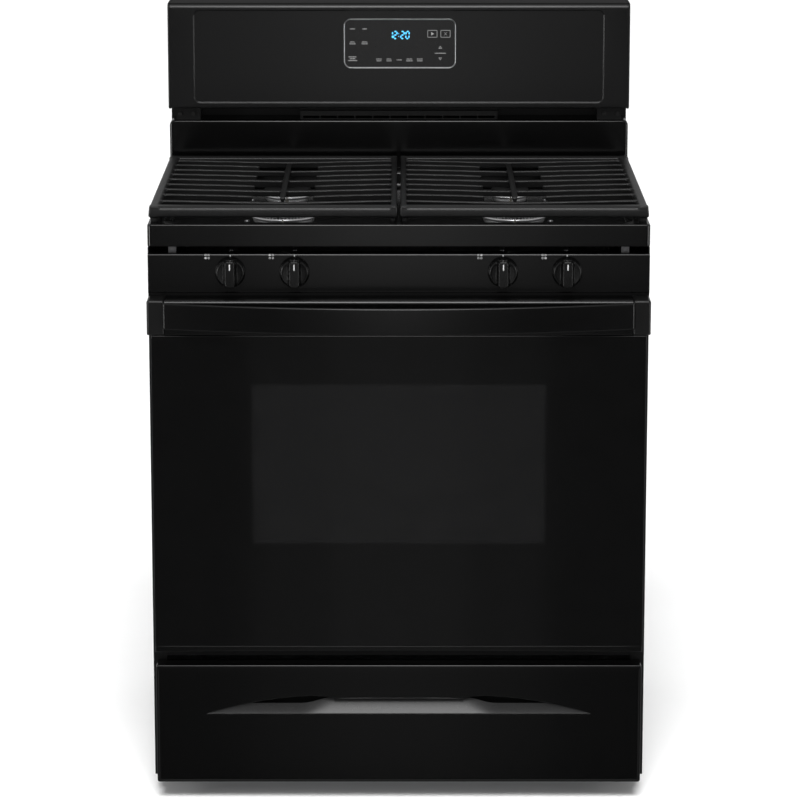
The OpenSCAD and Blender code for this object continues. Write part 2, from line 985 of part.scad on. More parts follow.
module door_top_trim() {
  x1 = hx - 27;
  color("#131415")
    difference() {
      block(-x1, x1, y_door, y_door_back, z_glass_top + 0.5, z_door_top);
      block(-x1 - 1, x1 + 1, y_door + 2.5, y_door_back - 1.5, z_glass_top + 2.5, z_door_top - 2);
      for (x = [-320 : 80 : 320])
        block(x - 26, x + 26, -290, -284, z_door_top - 3, z_door_top + 1);
    }
}

module door_end_caps() {
  color("#121213")
    for (s = [-1, 1])
      difference() {
        block(min(s * (hx - 26.9), s * hx), max(s * (hx - 26.9), s * hx), y_door - 1, y_door_back,
          z_glass_top + 0.5, z_door_top);
        block(min(s * (hx - 28), s * (hx - 3)), max(s * (hx - 28), s * (hx - 3)), y_door + 2, y_door_back - 3,
          z_glass_top + 3.5, z_door_top - 3);
      }
}

module door_handle() {
  bow_r = (handle_x * handle_x + handle_bow * handle_bow) / (2 * handle_bow);
  end_y = y_handle + handle_bow;
  color("#161718")
    union() {
      intersection() {
        translate([0, y_handle + bow_r, handle_z])
          difference() {
            cylinder(h = handle_h, r = bow_r);
            translate([0, 0, -1])
              cylinder(h = handle_h + 2, r = bow_r - strap_t);
          }
        block(-handle_x, handle_x, y_handle - 5, end_y + strap_t + 4, handle_z, handle_z + handle_h);
      }
      // feet that carry the strap on the trim
      both(handle_x - 18, handle_x - 2.6, end_y, y_door, handle_z + 3, handle_z + handle_h - 3);
    }
}

module door_gasket() {
  gx = 309;
  z0 = 285;
  z1 = 737;
  w = 2.3;
  yc = y_frame - w;
  color("#4b4c4e")
    union() {
      for (z = [z0, z1]) {
        rod_x(yc, z, -gx, gx, w);
        block(-gx, gx, yc, y_frame, z - w, z + w);
      }
      for (x = [-gx, gx]) {
        translate([x, yc, z0])
          cylinder(h = z1 - z0, r = w);
        block(x - w, x + w, yc, y_frame, z0, z1);
        for (z = [z0, z1]) {
          translate([x, yc, z])
            sphere(w);
          rod_y(x, z, yc, y_frame, w);
        }
      }
    }
}

// ---------- storage drawer ----------

// outline of the pull's opening: flat below, arched above
module pull_outline() {
  half = 295;
  z0 = 141;
  end_h = 2;
  rise = pull_rise - end_h;
  arc_r = (half * half + rise * rise) / (2 * rise);
  union() {
    translate([-half, z0])
      square([2 * half, end_h]);
    intersection() {
      translate([0, z0 + pull_rise - arc_r])
        circle(arc_r, $fn = 256);
      translate([-half, z0 + end_h / 2])
        square([2 * half, pull_rise]);
    }
  }
}

module drawer_front() {
  y1 = -266;
  skin = 3;
  pan_x = 301;
  pan_z0 = 136;
  pan_z1 = 186;
  pan_back = y_drawer + pull_depth;
  color("#131415")
    difference() {
      union() {
        difference() {
          face_plate(-373.5, 373.5, z_drawer_bottom, z_drawer_top, 3, y_drawer, y1 - y_drawer);
          block(-369, 369, y_drawer + skin, y1 + 1, z_drawer_bottom + 3, z_drawer_top - 3);
        }
        // closed pan behind the opening
        block(-pan_x, pan_x, y_drawer + 1, pan_back + 1.5, pan_z0, pan_z1);
        // inner sheet that stiffens the front and carries the drawer
        block(-371, 371, y1 - 1.5, y1, z_drawer_bottom + 1, z_drawer_top - 1);
      }
      // opening through the skin, and the finger space above a sloped floor
      upright(y_drawer - 1, skin + 2)
        pull_outline();
      along_x(-pan_x + 2, pan_x - 2)
        polygon([[y_drawer + skin, 141], [pan_back, 166], [pan_back, pan_z1 - 2], [y_drawer + skin, pan_z1 - 2]]);
    }
}

module drawer_pan() {
  x1 = 334;
  y0 = -266;
  y1 = 190;
  z0 = 56;
  z1 = 150;
  wall = 1.5;
  color("#7d8083")
    union() {
      difference() {
        block(-x1, x1, y0, y1, z0, z1);
        block(-x1 + wall, x1 - wall, y0 + wall, y1 - wall, z0 + wall, z1 + 1);
      }
      both(x1 - wall, x1 + 12, y0, y1, z1 - wall, z1);
    }
}

module drawer_rails() {
  x0 = 338;
  x1 = hx - sheet;
  z1 = 147.8;
  color("#8f9295")
    union() {
      both(x0, x1, -256, 260, z1 - 2, z1);
      both(x1 - 2, x1, -256, 260, z1 - 20, z1 + 14);
      both(x0, x1, -256, 225, z1 + 6, z1 + 8);
    }
}

// ---------- console and splash panel ----------

module splash_panel() {
  t = sheet;
  color("#101112")
    difference() {
      face_plate(-hx, hx, z_side_top + 0.2, z_splash_top, 10, y_splash + 0.1, y_rear_in - y_splash - 0.1);
      face_plate(-hx + t, hx - t, z_side_top - 20, z_splash_top - t, 9, y_splash + t, 80);
    }
}

module console_outline() {
  // closed outline in Y and Z of the console: flat face, round top front edge
  r = 9;
  union() {
    translate([y_console, z_console_bottom])
      square([y_rear_in - y_console, z_console_top - z_console_bottom - r]);
    translate([y_console + r, z_console_bottom])
      square([y_rear_in - y_console - r, z_console_top - z_console_bottom]);
    translate([y_console + r, z_console_top - r])
      circle(r);
  }
}

module console_inside() {
  t = 2.2;
  r = 6.8;
  union() {
    translate([y_console + t, z_console_bottom + t])
      square([y_rear_in - y_console, z_console_top - z_console_bottom - r - 2 * t]);
    translate([y_console + t + r, z_console_bottom + t])
      square([y_rear_in - y_console, z_console_top - z_console_bottom - 2 * t]);
    translate([y_console + t + r, z_console_top - t - r])
      circle(r);
  }
}

module console_shell() {
  color("#1c1d1e")
    difference() {
      along_x(-hx + 3.5, hx - 3.5)
        console_outline();
      along_x(-hx, hx)
        console_inside();
      // shallow pressed field, and the opening for the touch panel
      face_plate(-336, 336, 1011, 1162, 9, y_console - 1, 1.6);
      face_plate(-88, 91.5, 1069.5, 1146.5, 10, y_console - 1, 10);
    }
}

module console_end_caps() {
  color("#141415") {
    along_x(hx - 3.5, hx)
      console_outline();
    along_x(-hx, -hx + 3.5)
      console_outline();
  }
}

module console_rear_cover() {
  color("#1b1b1c")
    difference() {
      face_plate(-hx, hx, z_side_top + 2, z_console_top - 6, 6, y_rear_in, sheet);
      for (x = [-300 : 50 : 300])
        face_plate(x - 17, x + 17, 1100, 1105, 2.4, y_rear_in - 1, sheet + 2);
    }
}

module panel_bezel() {
  color("#c3c5c8")
    difference() {
      face_plate(-90.5, 94, 1067, 1149, 12, y_console - 0.9, 1.45);
      face_plate(-88, 91.5, 1069.5, 1146.5, 10, y_console - 2, 4);
    }
}

module touch_panel() {
  color("#08090a")
    difference() {
      face_plate(-87.9, 91.4, 1069.6, 1146.4, 9.9, y_console - 0.4, 3.4);
      // recess of the clock window
      face_plate(-18, 24, 1111, 1133, 2, y_console - 1, 1.2);
    }
}

module control_board() {
  color("#1f6b3a")
    union() {
      block(-100, 104, y_console + 16, y_console + 17.6, 1062, 1152);
      block(-60, -20, y_console + 17.6, y_console + 34, 1075, 1105);
      block(30, 62, y_console + 17.6, y_console + 40, 1080, 1120);
      for (x = [-94, 98])
        for (z = [1068, 1146])
          rod_y(x, z, y_console + 2.3, y_console + 16, 3);
    }
}

module oven_vent() {
  color("#0e0f10")
    difference() {
      union() {
        // duct and bar across the middle of the gap, and the two posts that carry the console
        block(-163, 163, y_splash + 4, y_rear_in - 6, z_splash_top, z_console_bottom);
        block(-163, 163, y_splash - 8, y_splash + 5, 987, 995);
        both(328, 368, y_splash, y_splash + 30, z_splash_top, z_console_bottom);
      }
      for (i = [-5 : 5])
        block(i * 29 - 13.4, i * 29 + 13.4, y_splash + 2, y_rear_in - 9, z_splash_top + 2, 986);
    }
}

side_panel_left();
side_panel_right();
rear_panel();
base_frame();
leveling_legs();
burner_box();
front_frame();
cooktop();
manifold_panel();
oven_cavity();
oven_bottom_panel();
insulation();
rack_upper();
rack_lower();
oven_burner();
oven_igniter();
oven_light();
temperature_probe();
gas_manifold();
valve_bodies();
gas_tubes();
gas_regulator();
knob_left_outer();
knob_left_inner();
knob_right_inner();
knob_right_outer();
valve_stem_left_outer();
valve_stem_left_inner();
valve_stem_right_inner();
valve_stem_right_outer();
burner_bases();
burner_caps();
spark_electrodes();
screws();
grate_left();
grate_right();
grate_feet_left();
grate_feet_right();
console_shell();
console_end_caps();
console_rear_cover();
panel_bezel();
touch_panel();
control_board();
splash_panel();
oven_vent();
door_outer_glass();
door_inner_glass();
door_frame();
door_liner();
door_top_trim();
door_end_caps();
door_bottom_trim();
door_handle();
door_gasket();
door_hinges();
drawer_front();
drawer_pan();
drawer_rails();
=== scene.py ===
import bmesh
import bpy
import json
import math
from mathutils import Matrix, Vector


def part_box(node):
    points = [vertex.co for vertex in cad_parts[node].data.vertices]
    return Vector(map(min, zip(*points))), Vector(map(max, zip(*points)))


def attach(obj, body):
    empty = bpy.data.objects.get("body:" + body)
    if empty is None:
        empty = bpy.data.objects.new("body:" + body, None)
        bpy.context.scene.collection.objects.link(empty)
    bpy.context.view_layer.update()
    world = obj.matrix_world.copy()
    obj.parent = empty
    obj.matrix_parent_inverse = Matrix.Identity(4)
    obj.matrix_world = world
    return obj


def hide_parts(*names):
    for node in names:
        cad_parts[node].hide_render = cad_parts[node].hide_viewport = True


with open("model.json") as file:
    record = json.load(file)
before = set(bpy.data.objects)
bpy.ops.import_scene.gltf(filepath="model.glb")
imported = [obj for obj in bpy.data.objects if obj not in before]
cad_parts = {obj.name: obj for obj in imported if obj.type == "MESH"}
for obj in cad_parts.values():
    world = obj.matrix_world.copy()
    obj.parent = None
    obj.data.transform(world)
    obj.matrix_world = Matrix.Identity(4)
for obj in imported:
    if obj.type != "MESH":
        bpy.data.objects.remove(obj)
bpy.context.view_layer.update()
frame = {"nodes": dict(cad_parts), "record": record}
# shapes are worked out in millimetres, and Blender is in metres
MM = 0.001

# ------------------------------ camera
PITCH_DOWN = 12.33
cam_data = bpy.data.cameras.new("camera")
cam_data.lens = 163.0
cam_data.sensor_width = 36.0
cam_data.clip_end = 100
cam = bpy.data.objects.new("camera", cam_data)
bpy.context.scene.collection.objects.link(cam)
cam.location = (0.0019, -5.656, 1.806)
cam.rotation_euler = (math.radians(90 - PITCH_DOWN), 0, 0)
bpy.context.scene.camera = cam
bpy.context.scene.view_settings.view_transform = "Standard"


# ------------------------------ materials
def new_mat(name):
    m = bpy.data.materials.new(name)
    m.use_nodes = True
    nt = m.node_tree
    b = nt.nodes["Principled BSDF"]
    return m, nt, b


def noise(nt, scale, detail=3.0, kind="ShaderNodeTexNoise"):
    """a noise or Voronoi texture in the object's own coordinates"""
    coords = nt.nodes.new("ShaderNodeTexCoord")
    texture = nt.nodes.new(kind)
    texture.inputs["Scale"].default_value = scale
    if kind == "ShaderNodeTexNoise":
        texture.inputs["Detail"].default_value = detail
    nt.links.new(coords.outputs["Object"], texture.inputs["Vector"])
    return texture


def map_range(nt, src, a, b, lo, hi, interpolation="LINEAR"):
    """a value that runs from lo where src is a to hi where src is b"""
    node = nt.nodes.new("ShaderNodeMapRange")
    node.interpolation_type = interpolation
    for socket, value in (("From Min", a), ("From Max", b), ("To Min", lo), ("To Max", hi)):
        node.inputs[socket].default_value = value
    nt.links.new(src, node.inputs["Value"])
    return node.outputs["Result"]


def ramp(nt, src, stops):
    """a colour ramp over src, through (position, grey value or colour) stops"""
    r = nt.nodes.new("ShaderNodeValToRGB")
    els = r.color_ramp.elements
    while len(els) < len(stops):
        els.new(0.5)
    for e, (p, c) in zip(els, stops):
        e.position = p
        e.color = (c, c, c, 1) if isinstance(c, (int, float)) else (*c, 1)
    nt.links.new(src, r.inputs["Fac"])
    return r.outputs["Color"]


def bump(nt, b, src, strength, dist):
    n = nt.nodes.new("ShaderNodeBump")
    n.inputs["Strength"].default_value = strength
    n.inputs["Distance"].default_value = dist
    nt.links.new(src, n.inputs["Height"])
    nt.links.new(n.outputs["Normal"], b.inputs["Normal"])


def material(name, c0, c1, scale, r0, r1, metallic=0.0, spec=0.5,
             bump_scale=None, bump_strength=0.1, bump_dist=0.0003, kind="ShaderNodeTexNoise"):
    """colour from c0 to c1 and roughness from r0 to r1 over a fine texture, with an optional bump"""
    m, nt, b = new_mat(name)
    cells = kind == "ShaderNodeTexVoronoi"
    tone = noise(nt, scale, kind=kind)
    colour = ramp(nt, tone.outputs["Color" if cells else "Fac"], [(0.3, c0), (0.7, c1)])
    nt.links.new(colour, b.inputs["Base Color"])
    shine = tone if cells else noise(nt, scale * 2.1, 4.0)
    nt.links.new(ramp(nt, shine.outputs["Color"], [(0.35, r0), (0.65, r1)]), b.inputs["Roughness"])
    b.inputs["Metallic"].default_value = metallic
    b.inputs["Specular IOR Level"].default_value = spec
    if bump_scale:
        bump(nt, b, noise(nt, bump_scale, 2.0).outputs["Fac"], bump_strength, bump_dist)
    return m


def grey(v):
    """a very slightly cool grey"""
    return (v, v, v * 1.02)


M = {}
M["enamel"] = material("enamel_black", grey(0.0011), grey(0.0017), 240, 0.150, 0.165, spec=0.5,
                       bump_scale=900, bump_strength=0.02, bump_dist=0.0002)
M["enamel_panel"] = material("enamel_panel", grey(0.0016), grey(0.0024), 260, 0.19, 0.21, spec=0.5,
                             bump_scale=1200, bump_strength=0.03, bump_dist=0.0002)
M["console"] = material("console_paint", grey(0.0052), grey(0.0068), 280, 0.225, 0.245, spec=0.5,
                        bump_scale=1500, bump_strength=0.015, bump_dist=0.0002)
# painted shade: a darker copy of the console paint with almost no reflection, for the console's upward faces
M["console_top"] = material("console_paint_top_painted_shade", grey(0.0030), grey(0.0042), 280, 0.46, 0.50, spec=0.05,
                            bump_scale=1500, bump_strength=0.015, bump_dist=0.0002)
M["cabinet"] = material("cabinet_paint", grey(0.0035), grey(0.0055), 250, 0.36, 0.41, spec=0.5,
                        bump_scale=1400, bump_strength=0.10, bump_dist=0.0003)
# painted highlight: a lighter copy of the black enamel for the pull's scoop floor and rolled lip, standing in
# for the light they catch
M["pull"] = material("pull_painted_highlight", grey(0.010), grey(0.014), 260, 0.27, 0.31, spec=0.5,
                     bump_scale=1100, bump_strength=0.04, bump_dist=0.0002)
M["iron"] = material("cast_iron", grey(0.006), grey(0.010), 260, 0.33, 0.42, spec=0.5,
                     bump_scale=1400, bump_strength=0.25, bump_dist=0.0004)
M["cap"] = material("burner_cap_enamel", grey(0.004), grey(0.007), 500, 0.42, 0.55, spec=0.5,
                    bump_scale=1600, bump_strength=0.18, bump_dist=0.0003)
M["alu"] = material("burner_aluminium", (0.86, 0.86, 0.87), (0.94, 0.94, 0.95), 420, 0.27, 0.33,
                    metallic=0.72, bump_scale=1800, bump_strength=0.25, bump_dist=0.0003)
# painted shade: the gas tubes' aluminium darkened far below its own colour, for tubes that sit in the
# shadowed slot above the knobs
M["tube"] = material("tube_aluminium", (0.14, 0.14, 0.145), (0.20, 0.20, 0.205), 90, 0.28, 0.40,
                     metallic=1.0, bump_scale=600, bump_strength=0.08)
M["steel"] = material("zinc_steel", (0.48, 0.49, 0.50), (0.62, 0.63, 0.64), 300, 0.24, 0.38, metallic=1.0,
                      bump_scale=900, bump_strength=0.1)
M["galv"] = material("galvanised_sheet", (0.36, 0.37, 0.38), (0.44, 0.45, 0.46), 130, 0.44, 0.50,
                     metallic=1.0, kind="ShaderNodeTexVoronoi", bump_scale=500, bump_strength=0.06)
M["brass"] = material("brass", (0.50, 0.36, 0.13), (0.62, 0.46, 0.18), 120, 0.26, 0.40, metallic=1.0,
                      bump_scale=900, bump_strength=0.08)
M["chrome"] = material("chrome_wire", (0.55, 0.56, 0.58), (0.66, 0.67, 0.69), 60, 0.10, 0.18, metallic=1.0,
                       bump_scale=500, bump_strength=0.05)
M["silver"] = material("bezel_silver", (0.60, 0.61, 0.62), (0.70, 0.71, 0.72), 200, 0.28, 0.32, metallic=1.0,
                       bump_scale=900, bump_strength=0.02, bump_dist=0.0001)
M["rubber"] = material("rubber", grey(0.006), grey(0.010), 300, 0.7, 0.85, spec=0.3,
                       bump_scale=1500, bump_strength=0.3)
M["plastic"] = material("black_plastic", grey(0.0035), grey(0.005), 200, 0.30, 0.36, spec=0.5,
                        bump_scale=1800, bump_strength=0.1, bump_dist=0.0002)
M["knob"] = material("knob_plastic", grey(0.0025), grey(0.004), 150, 0.16, 0.24, spec=0.5,
                     bump_scale=1800, bump_strength=0.04, bump_dist=0.0002)
M["oven"] = material("oven_enamel", (0.020, 0.022, 0.030), (0.034, 0.037, 0.048), 900, 0.24, 0.36, spec=0.5,
                     bump_scale=500, bump_strength=0.12)
M["film"] = material("touch_film", grey(0.0105), grey(0.0125), 240, 0.18, 0.20, spec=0.45,
                     bump_scale=900, bump_strength=0.02, bump_dist=0.0001)
M["board"] = material("circuit_board", (0.010, 0.060, 0.022), (0.018, 0.10, 0.04), 400, 0.35, 0.5,
                      bump_scale=900, bump_strength=0.2)
M["wool"] = material("mineral_wool", (0.40, 0.34, 0.20), (0.60, 0.53, 0.36), 220, 0.9, 1.0, spec=0.1,
                     bump_scale=300, bump_strength=0.9, bump_dist=0.003)
M["gasket"] = material("woven_gasket", grey(0.02), grey(0.06), 900, 0.8, 0.95, spec=0.2,
                       bump_scale=1200, bump_strength=0.7, bump_dist=0.0006)
M["ceramic"] = material("ceramic", (0.20, 0.19, 0.17), (0.26, 0.25, 0.22), 120, 0.25, 0.4, spec=0.5,
                        bump_scale=700, bump_strength=0.1)
M["print"] = material("white_print", (0.60, 0.60, 0.60), (0.66, 0.66, 0.66), 500, 0.45, 0.55, spec=0.3,
                      bump_scale=1200, bump_strength=0.03)
M["print_dim"] = material("grey_print", (0.42, 0.42, 0.42), (0.46, 0.46, 0.46), 500, 0.45, 0.55, spec=0.3,
                          bump_scale=1200, bump_strength=0.03)
# painted shade: a dull, barely reflective copy of the black enamel for the hollow behind the drawer pull
M["dark"] = material("recess_painted_shade", grey(0.002), grey(0.003), 100, 0.5, 0.6, spec=0.3,
                     bump_scale=500, bump_strength=0.05)


def glass_mat(name, col, alpha, rough):
    m = material(name, grey(col), grey(col * 1.3), 30, rough, rough + 0.03,
                 bump_scale=6, bump_strength=0.012, bump_dist=0.0008)
    m.node_tree.nodes["Principled BSDF"].inputs["Alpha"].default_value = alpha
    return m


# half width, bottom and top of the window in the door's black glass
WIN_X, WIN_Z0, WIN_Z1 = 227.0, 410.0, 664.0
WIN_ALPHA = 0.86
M["glass_border"] = glass_mat("door_glass_black", 0.0017, 1.0, 0.085)
M["glass_window"] = glass_mat("door_glass_window", 0.0062, WIN_ALPHA, 0.085)
M["glass_inner"] = glass_mat("door_glass_inner", 0.02, 0.25, 0.03)
M["lamp"] = glass_mat("lamp_glass", 0.5, 0.45, 0.08)


def fade_in_window(m):
    """the window's tint and clearness fade in over a few millimetres from the black border"""
    nt = m.node_tree
    b = nt.nodes["Principled BSDF"]
    coords = nt.nodes.new("ShaderNodeTexCoord")
    split = nt.nodes.new("ShaderNodeSeparateXYZ")
    nt.links.new(coords.outputs["Object"], split.inputs[0])

    def edge_fade(axis, centre, half, width):
        offset = nt.nodes.new("ShaderNodeMath")
        offset.operation = "SUBTRACT"
        nt.links.new(split.outputs[axis], offset.inputs[0])
        offset.inputs[1].default_value = centre * MM
        distance = nt.nodes.new("ShaderNodeMath")
        distance.operation = "ABSOLUTE"
        nt.links.new(offset.outputs[0], distance.inputs[0])
        return map_range(nt, distance.outputs[0], half * MM, (half - width) * MM, 0.0, 1.0, "SMOOTHSTEP")

    both = nt.nodes.new("ShaderNodeMath")
    both.operation = "MULTIPLY"
    nt.links.new(edge_fade("X", 0.0, WIN_X, 11.0), both.inputs[0])
    nt.links.new(edge_fade("Z", (WIN_Z0 + WIN_Z1) / 2, (WIN_Z1 - WIN_Z0) / 2, 7.0), both.inputs[1])
    tint = nt.nodes.new("ShaderNodeMix")
    tint.data_type = "RGBA"
    tint.inputs[6].default_value = (*grey(0.0019), 1)
    nt.links.new(both.outputs[0], tint.inputs[0])
    nt.links.new(b.inputs["Base Color"].links[0].from_socket, tint.inputs[7])
    nt.links.new(tint.outputs[2], b.inputs["Base Color"])
    nt.links.new(map_range(nt, both.outputs[0], 0.0, 1.0, 1.0, WIN_ALPHA), b.inputs["Alpha"])


fade_in_window(M["glass_window"])


def glowing_digits():
    m, nt, b = new_mat("display_digits")
    tone = noise(nt, 400, 2.0).outputs["Fac"]
    unlit = ramp(nt, tone, [(0.2, (0.05, 0.42, 0.62)), (0.8, (0.10, 0.55, 0.78))])
    glow = ramp(nt, tone, [(0.2, (0.05, 0.36, 0.80)), (0.8, (0.12, 0.52, 1.0))])
    nt.links.new(unlit, b.inputs["Base Color"])
    nt.links.new(glow, b.inputs["Emission Color"])
    b.inputs["Emission Strength"].default_value = 1.1
    b.inputs["Roughness"].default_value = 0.4
    return m


M["digits"] = glowing_digits()


def screw_heads():
    """bright metal low on the range, near-black from the console's bracket screws up, a painted shade for the
    dark gap they sit in
    """
    m, nt, b = new_mat("screw_heads")
    coords = nt.nodes.new("ShaderNodeTexCoord")
    split = nt.nodes.new("ShaderNodeSeparateXYZ")
    nt.links.new(coords.outputs["Object"], split.inputs[0])
    tone = noise(nt, 300, 3.0).outputs["Fac"]
    bare = map_range(nt, split.outputs["Z"], 0.94, 0.95, 1.0, 0.0)
    mix = nt.nodes.new("ShaderNodeMix")
    mix.data_type = "RGBA"
    # painted shade: near-black for the console's bracket screws, seen in the shadowed gap under the console
    mix.inputs[6].default_value = (0.012, 0.012, 0.012, 1)
    nt.links.new(bare, mix.inputs[0])
    nt.links.new(ramp(nt, tone, [(0.3, (0.30, 0.30, 0.31)), (0.7, (0.42, 0.42, 0.43))]), mix.inputs[7])
    nt.links.new(mix.outputs[2], b.inputs["Base Color"])
    nt.links.new(ramp(nt, tone, [(0.3, 0.28), (0.7, 0.40)]), b.inputs["Roughness"])
    nt.links.new(bare, b.inputs["Metallic"])
    bump(nt, b, noise(nt, 900, 2.0).outputs["Fac"], 0.1, 0.0002)
    return m


M["screws"] = screw_heads()


# ------------------------------ mesh helpers
class Geo:
    """collects vertices and faces in millimetres"""

    def __init__(self):
        self.v, self.f, self.m = [], [], []

    def add(self, verts, faces, mat=0):
        """mat is one material index for all the faces, or a list of one for each"""
        k = len(self.v)
        self.v += verts
        self.f += [[k + i for i in f] for f in faces]
        self.m += mat if isinstance(mat, list) else [mat] * len(faces)

    def loft(self, rings, cap0=True, cap1=True, mats=None):
        """a skin over closed rings of equal count; mats has a material index for each band between rings"""
        n = len(rings[0])
        bands = len(rings) - 1
        mats = mats or [0] * bands
        faces, band_mats = [], []
        for i in range(bands):
            for j in range(n):
                a, b = i * n + j, i * n + (j + 1) % n
                faces.append([a, b, b + n, a + n])
                band_mats.append(mats[i])
        if cap0:
            faces.append(list(range(n))[::-1])
            band_mats.append(mats[0])
        if cap1:
            faces.append(list(range(bands * n, bands * n + n)))
            band_mats.append(mats[-1])
        self.add([p for r in rings for p in r], faces, band_mats)


def build(name, geo, body, mats, sharp=38, weighted=True, weld=True):
    """a piece on a body; edges above the sharp angle stay crisp"""
    me = bpy.data.meshes.new(name)
    me.from_pydata([(x * MM, y * MM, z * MM) for x, y, z in geo.v], [], geo.f)
    for mm in mats:
        me.materials.append(M[mm])
    me.polygons.foreach_set("material_index", geo.m)
    bm = bmesh.new()
    bm.from_mesh(me)
    if weld:
        bmesh.ops.remove_doubles(bm, verts=bm.verts, dist=1e-6)
    bmesh.ops.recalc_face_normals(bm, faces=bm.faces)
    bm.to_mesh(me)
    bm.free()
    me.polygons.foreach_set("use_smooth", [True] * len(me.polygons))
    me.set_sharp_from_angle(angle=math.radians(sharp))
    ob = bpy.data.objects.new(name, me)
    bpy.context.scene.collection.objects.link(ob)
    if weighted:
        w = ob.modifiers.new("normals", "WEIGHTED_NORMAL")
        w.keep_sharp = True
    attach(ob, body)
    return ob


def rr(x0, x1, z0, z1, r, n=5):
    """round rectangle, anticlockwise from the lower right corner

    r is one radius or four: lower right, upper right, upper left, lower left"""
    rs = r if isinstance(r, (list, tuple)) else (r,) * 4
    out = []
    for k, (cx, cz, a0) in enumerate([(x1, z0, -90), (x1, z1, 0), (x0, z1, 90), (x0, z0, 180)]):
        q = max(rs[k], 0.02)
        sx = -q if cx == x1 else q
        sz = q if cz == z0 else -q
        for i in range(n + 1):
            a = math.radians(a0 + 90 * i / n)
            out.append((cx + sx + q * math.cos(a), cz + sz + q * math.sin(a)))
    return out


def inset(x0, x1, z0, z1, r, d, n=5):
    """the same round rectangle drawn in by d all round"""
    rs = r if isinstance(r, (list, tuple)) else (r,) * 4
    return rr(x0 + d, x1 - d, z0 + d, z1 - d, [max(q - d, 0.02) for q in rs], n)


def xz(pts, y):
    return [(p[0], y, p[1]) for p in pts]


def xy(pts, z):
    return [(p[0], p[1], z) for p in pts]


def yz(pts, x):
    return [(x, p[0], p[1]) for p in pts]


def quarter_turn(n, first=0):
    """the angles that divide a quarter turn into n steps"""
    return [math.pi / 2 * i / n for i in range(first, n + 1)]


def quarter(r, n=4):
    """(inset, depth) pairs from the side of a rounded edge to its face"""
    return [(r * (1 - math.cos(a)), r * (1 - math.sin(a))) for a in quarter_turn(n)]


def slab_rings(x0, x1, z0, z1, r, y_front, y_back, e_front=1.5, e_back=0.5, n=5):
    """rings of an upright slab from back to front, with rounded edges of radius e_back and e_front"""
    rings = []
    for d, h in reversed(quarter(e_back, 2)):
        rings.append(xz(inset(x0, x1, z0, z1, r, d, n), y_back - h))
    for d, h in quarter(e_front, 4):
        rings.append(xz(inset(x0, x1, z0, z1, r, d, n), y_front + h))
    return rings


def lathe(profile, n=64, at=(0, 0, 0), axis="z"):
    """rings of (radius, height) pairs round the Z axis, or round Y with the height towards the front"""
    rings = []
    for r, h in profile:
        ring = []
        for i in range(n):
            a = 2 * math.pi * i / n
            c, s = max(r, 0.01) * math.cos(a), max(r, 0.01) * math.sin(a)
            offset = (c, s, h) if axis == "z" else (c, -h, s)
            ring.append(tuple(p + q for p, q in zip(at, offset)))
        rings.append(ring)
    return rings


def mm_box(node):
    lo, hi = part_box(node)
    return [v * 1000 for v in lo], [v * 1000 for v in hi]


# half the width of the cooktop, which the console, splash panel and door caps share
HX = mm_box("cooktop")[1][0]

# ------------------------------ cooktop
lo, hi = mm_box("cooktop")
Y0, Y1, ZS, ZR = lo[1], hi[1], lo[2], hi[2]
# height of the floor of the recessed well
ZW = 873.0
g = Geo()
rings = [xy(inset(-HX, HX, Y0, Y1, 6, 2, 6), ZW - 4), xy(inset(-HX, HX, Y0, Y1, 6, 2, 6), ZS + 0.4),
         xy(inset(-HX, HX, Y0, Y1, 6, 1.4, 6), ZS), xy(inset(-HX, HX, Y0, Y1, 6, 0.3, 6), ZS + 0.4),
         xy(rr(-HX, HX, Y0, Y1, 6, 6), ZS + 2)]
for d, h in quarter(2.6, 6):
    rings.append(xy(inset(-HX, HX, Y0, Y1, 6, d, 6), ZR - h))
# edge of the well: a rounded shoulder, then a hollow down to its floor
wx, wy0, wy1 = HX - 21.5, -246, 258
for a in quarter_turn(6):
    d, h = 5 * (1 - math.sin(a)), 5 * (1 - math.cos(a))
    rings.append(xy(rr(-wx - d + 2, wx + d - 2, wy0 - d + 2, wy1 + d - 2, 24 + d, 6), ZR - h))
for d, h in quarter(9, 6):
    rings.append(xy(rr(-wx + 4 + d, wx - 4 - d, wy0 + 4 + d, wy1 - 4 - d, 22 - d, 6), ZW + h))
g.loft(rings, cap0=True, cap1=True)
cooktop = build("cooktop_pan", g, "range", ["enamel"], sharp=50)
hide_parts("cooktop")


# ------------------------------ burners
def bead(r, z, w, h, n=6):
    """half-round moulding on a cylinder of radius r, from height z to z + h, standing w proud"""
    turn = [math.pi * k / n for k in range(n + 1)]
    return [(r + w * math.sin(a), z + h * (1 - math.cos(a)) / 2) for a in turn]


def burner(x, y, r):
    """aluminium base of a sealed burner: beaded skirt and a ring of ports under the cap"""
    g = Geo()
    z = ZW
    prof = [(14, z - 14), (14, z - 0.6), (r - 8, z - 0.2), (r - 6.2, z + 0.1)]
    prof += bead(r - 6.2, z + 0.5, 2.6, 6.8, 8)
    prof += [(r - 4.2, z + 7.5)]
    prof += bead(r - 2.0, z + 7.7, 1.95, 3.6, 8)
    prof += [(r - 4.5, z + 11.5)]
    g.loft(lathe(prof, 120, (x, y, 0)), cap0=True, cap1=False)
    # ring of ports: teeth with dark slots between them
    steps = 8 * round(r * 0.5)
    ring0, ring1 = [], []
    for i in range(steps):
        a = 2 * math.pi * i / steps
        q = r - 4.5 if (i // 2) % 2 == 0 else r - 8
        ring0.append((x + q * math.cos(a), y + q * math.sin(a), z + 11.5))
        ring1.append((x + q * math.cos(a), y + q * math.sin(a), z + 14.4))
    g.loft([ring0, ring1], cap0=True, cap1=True)
    return g


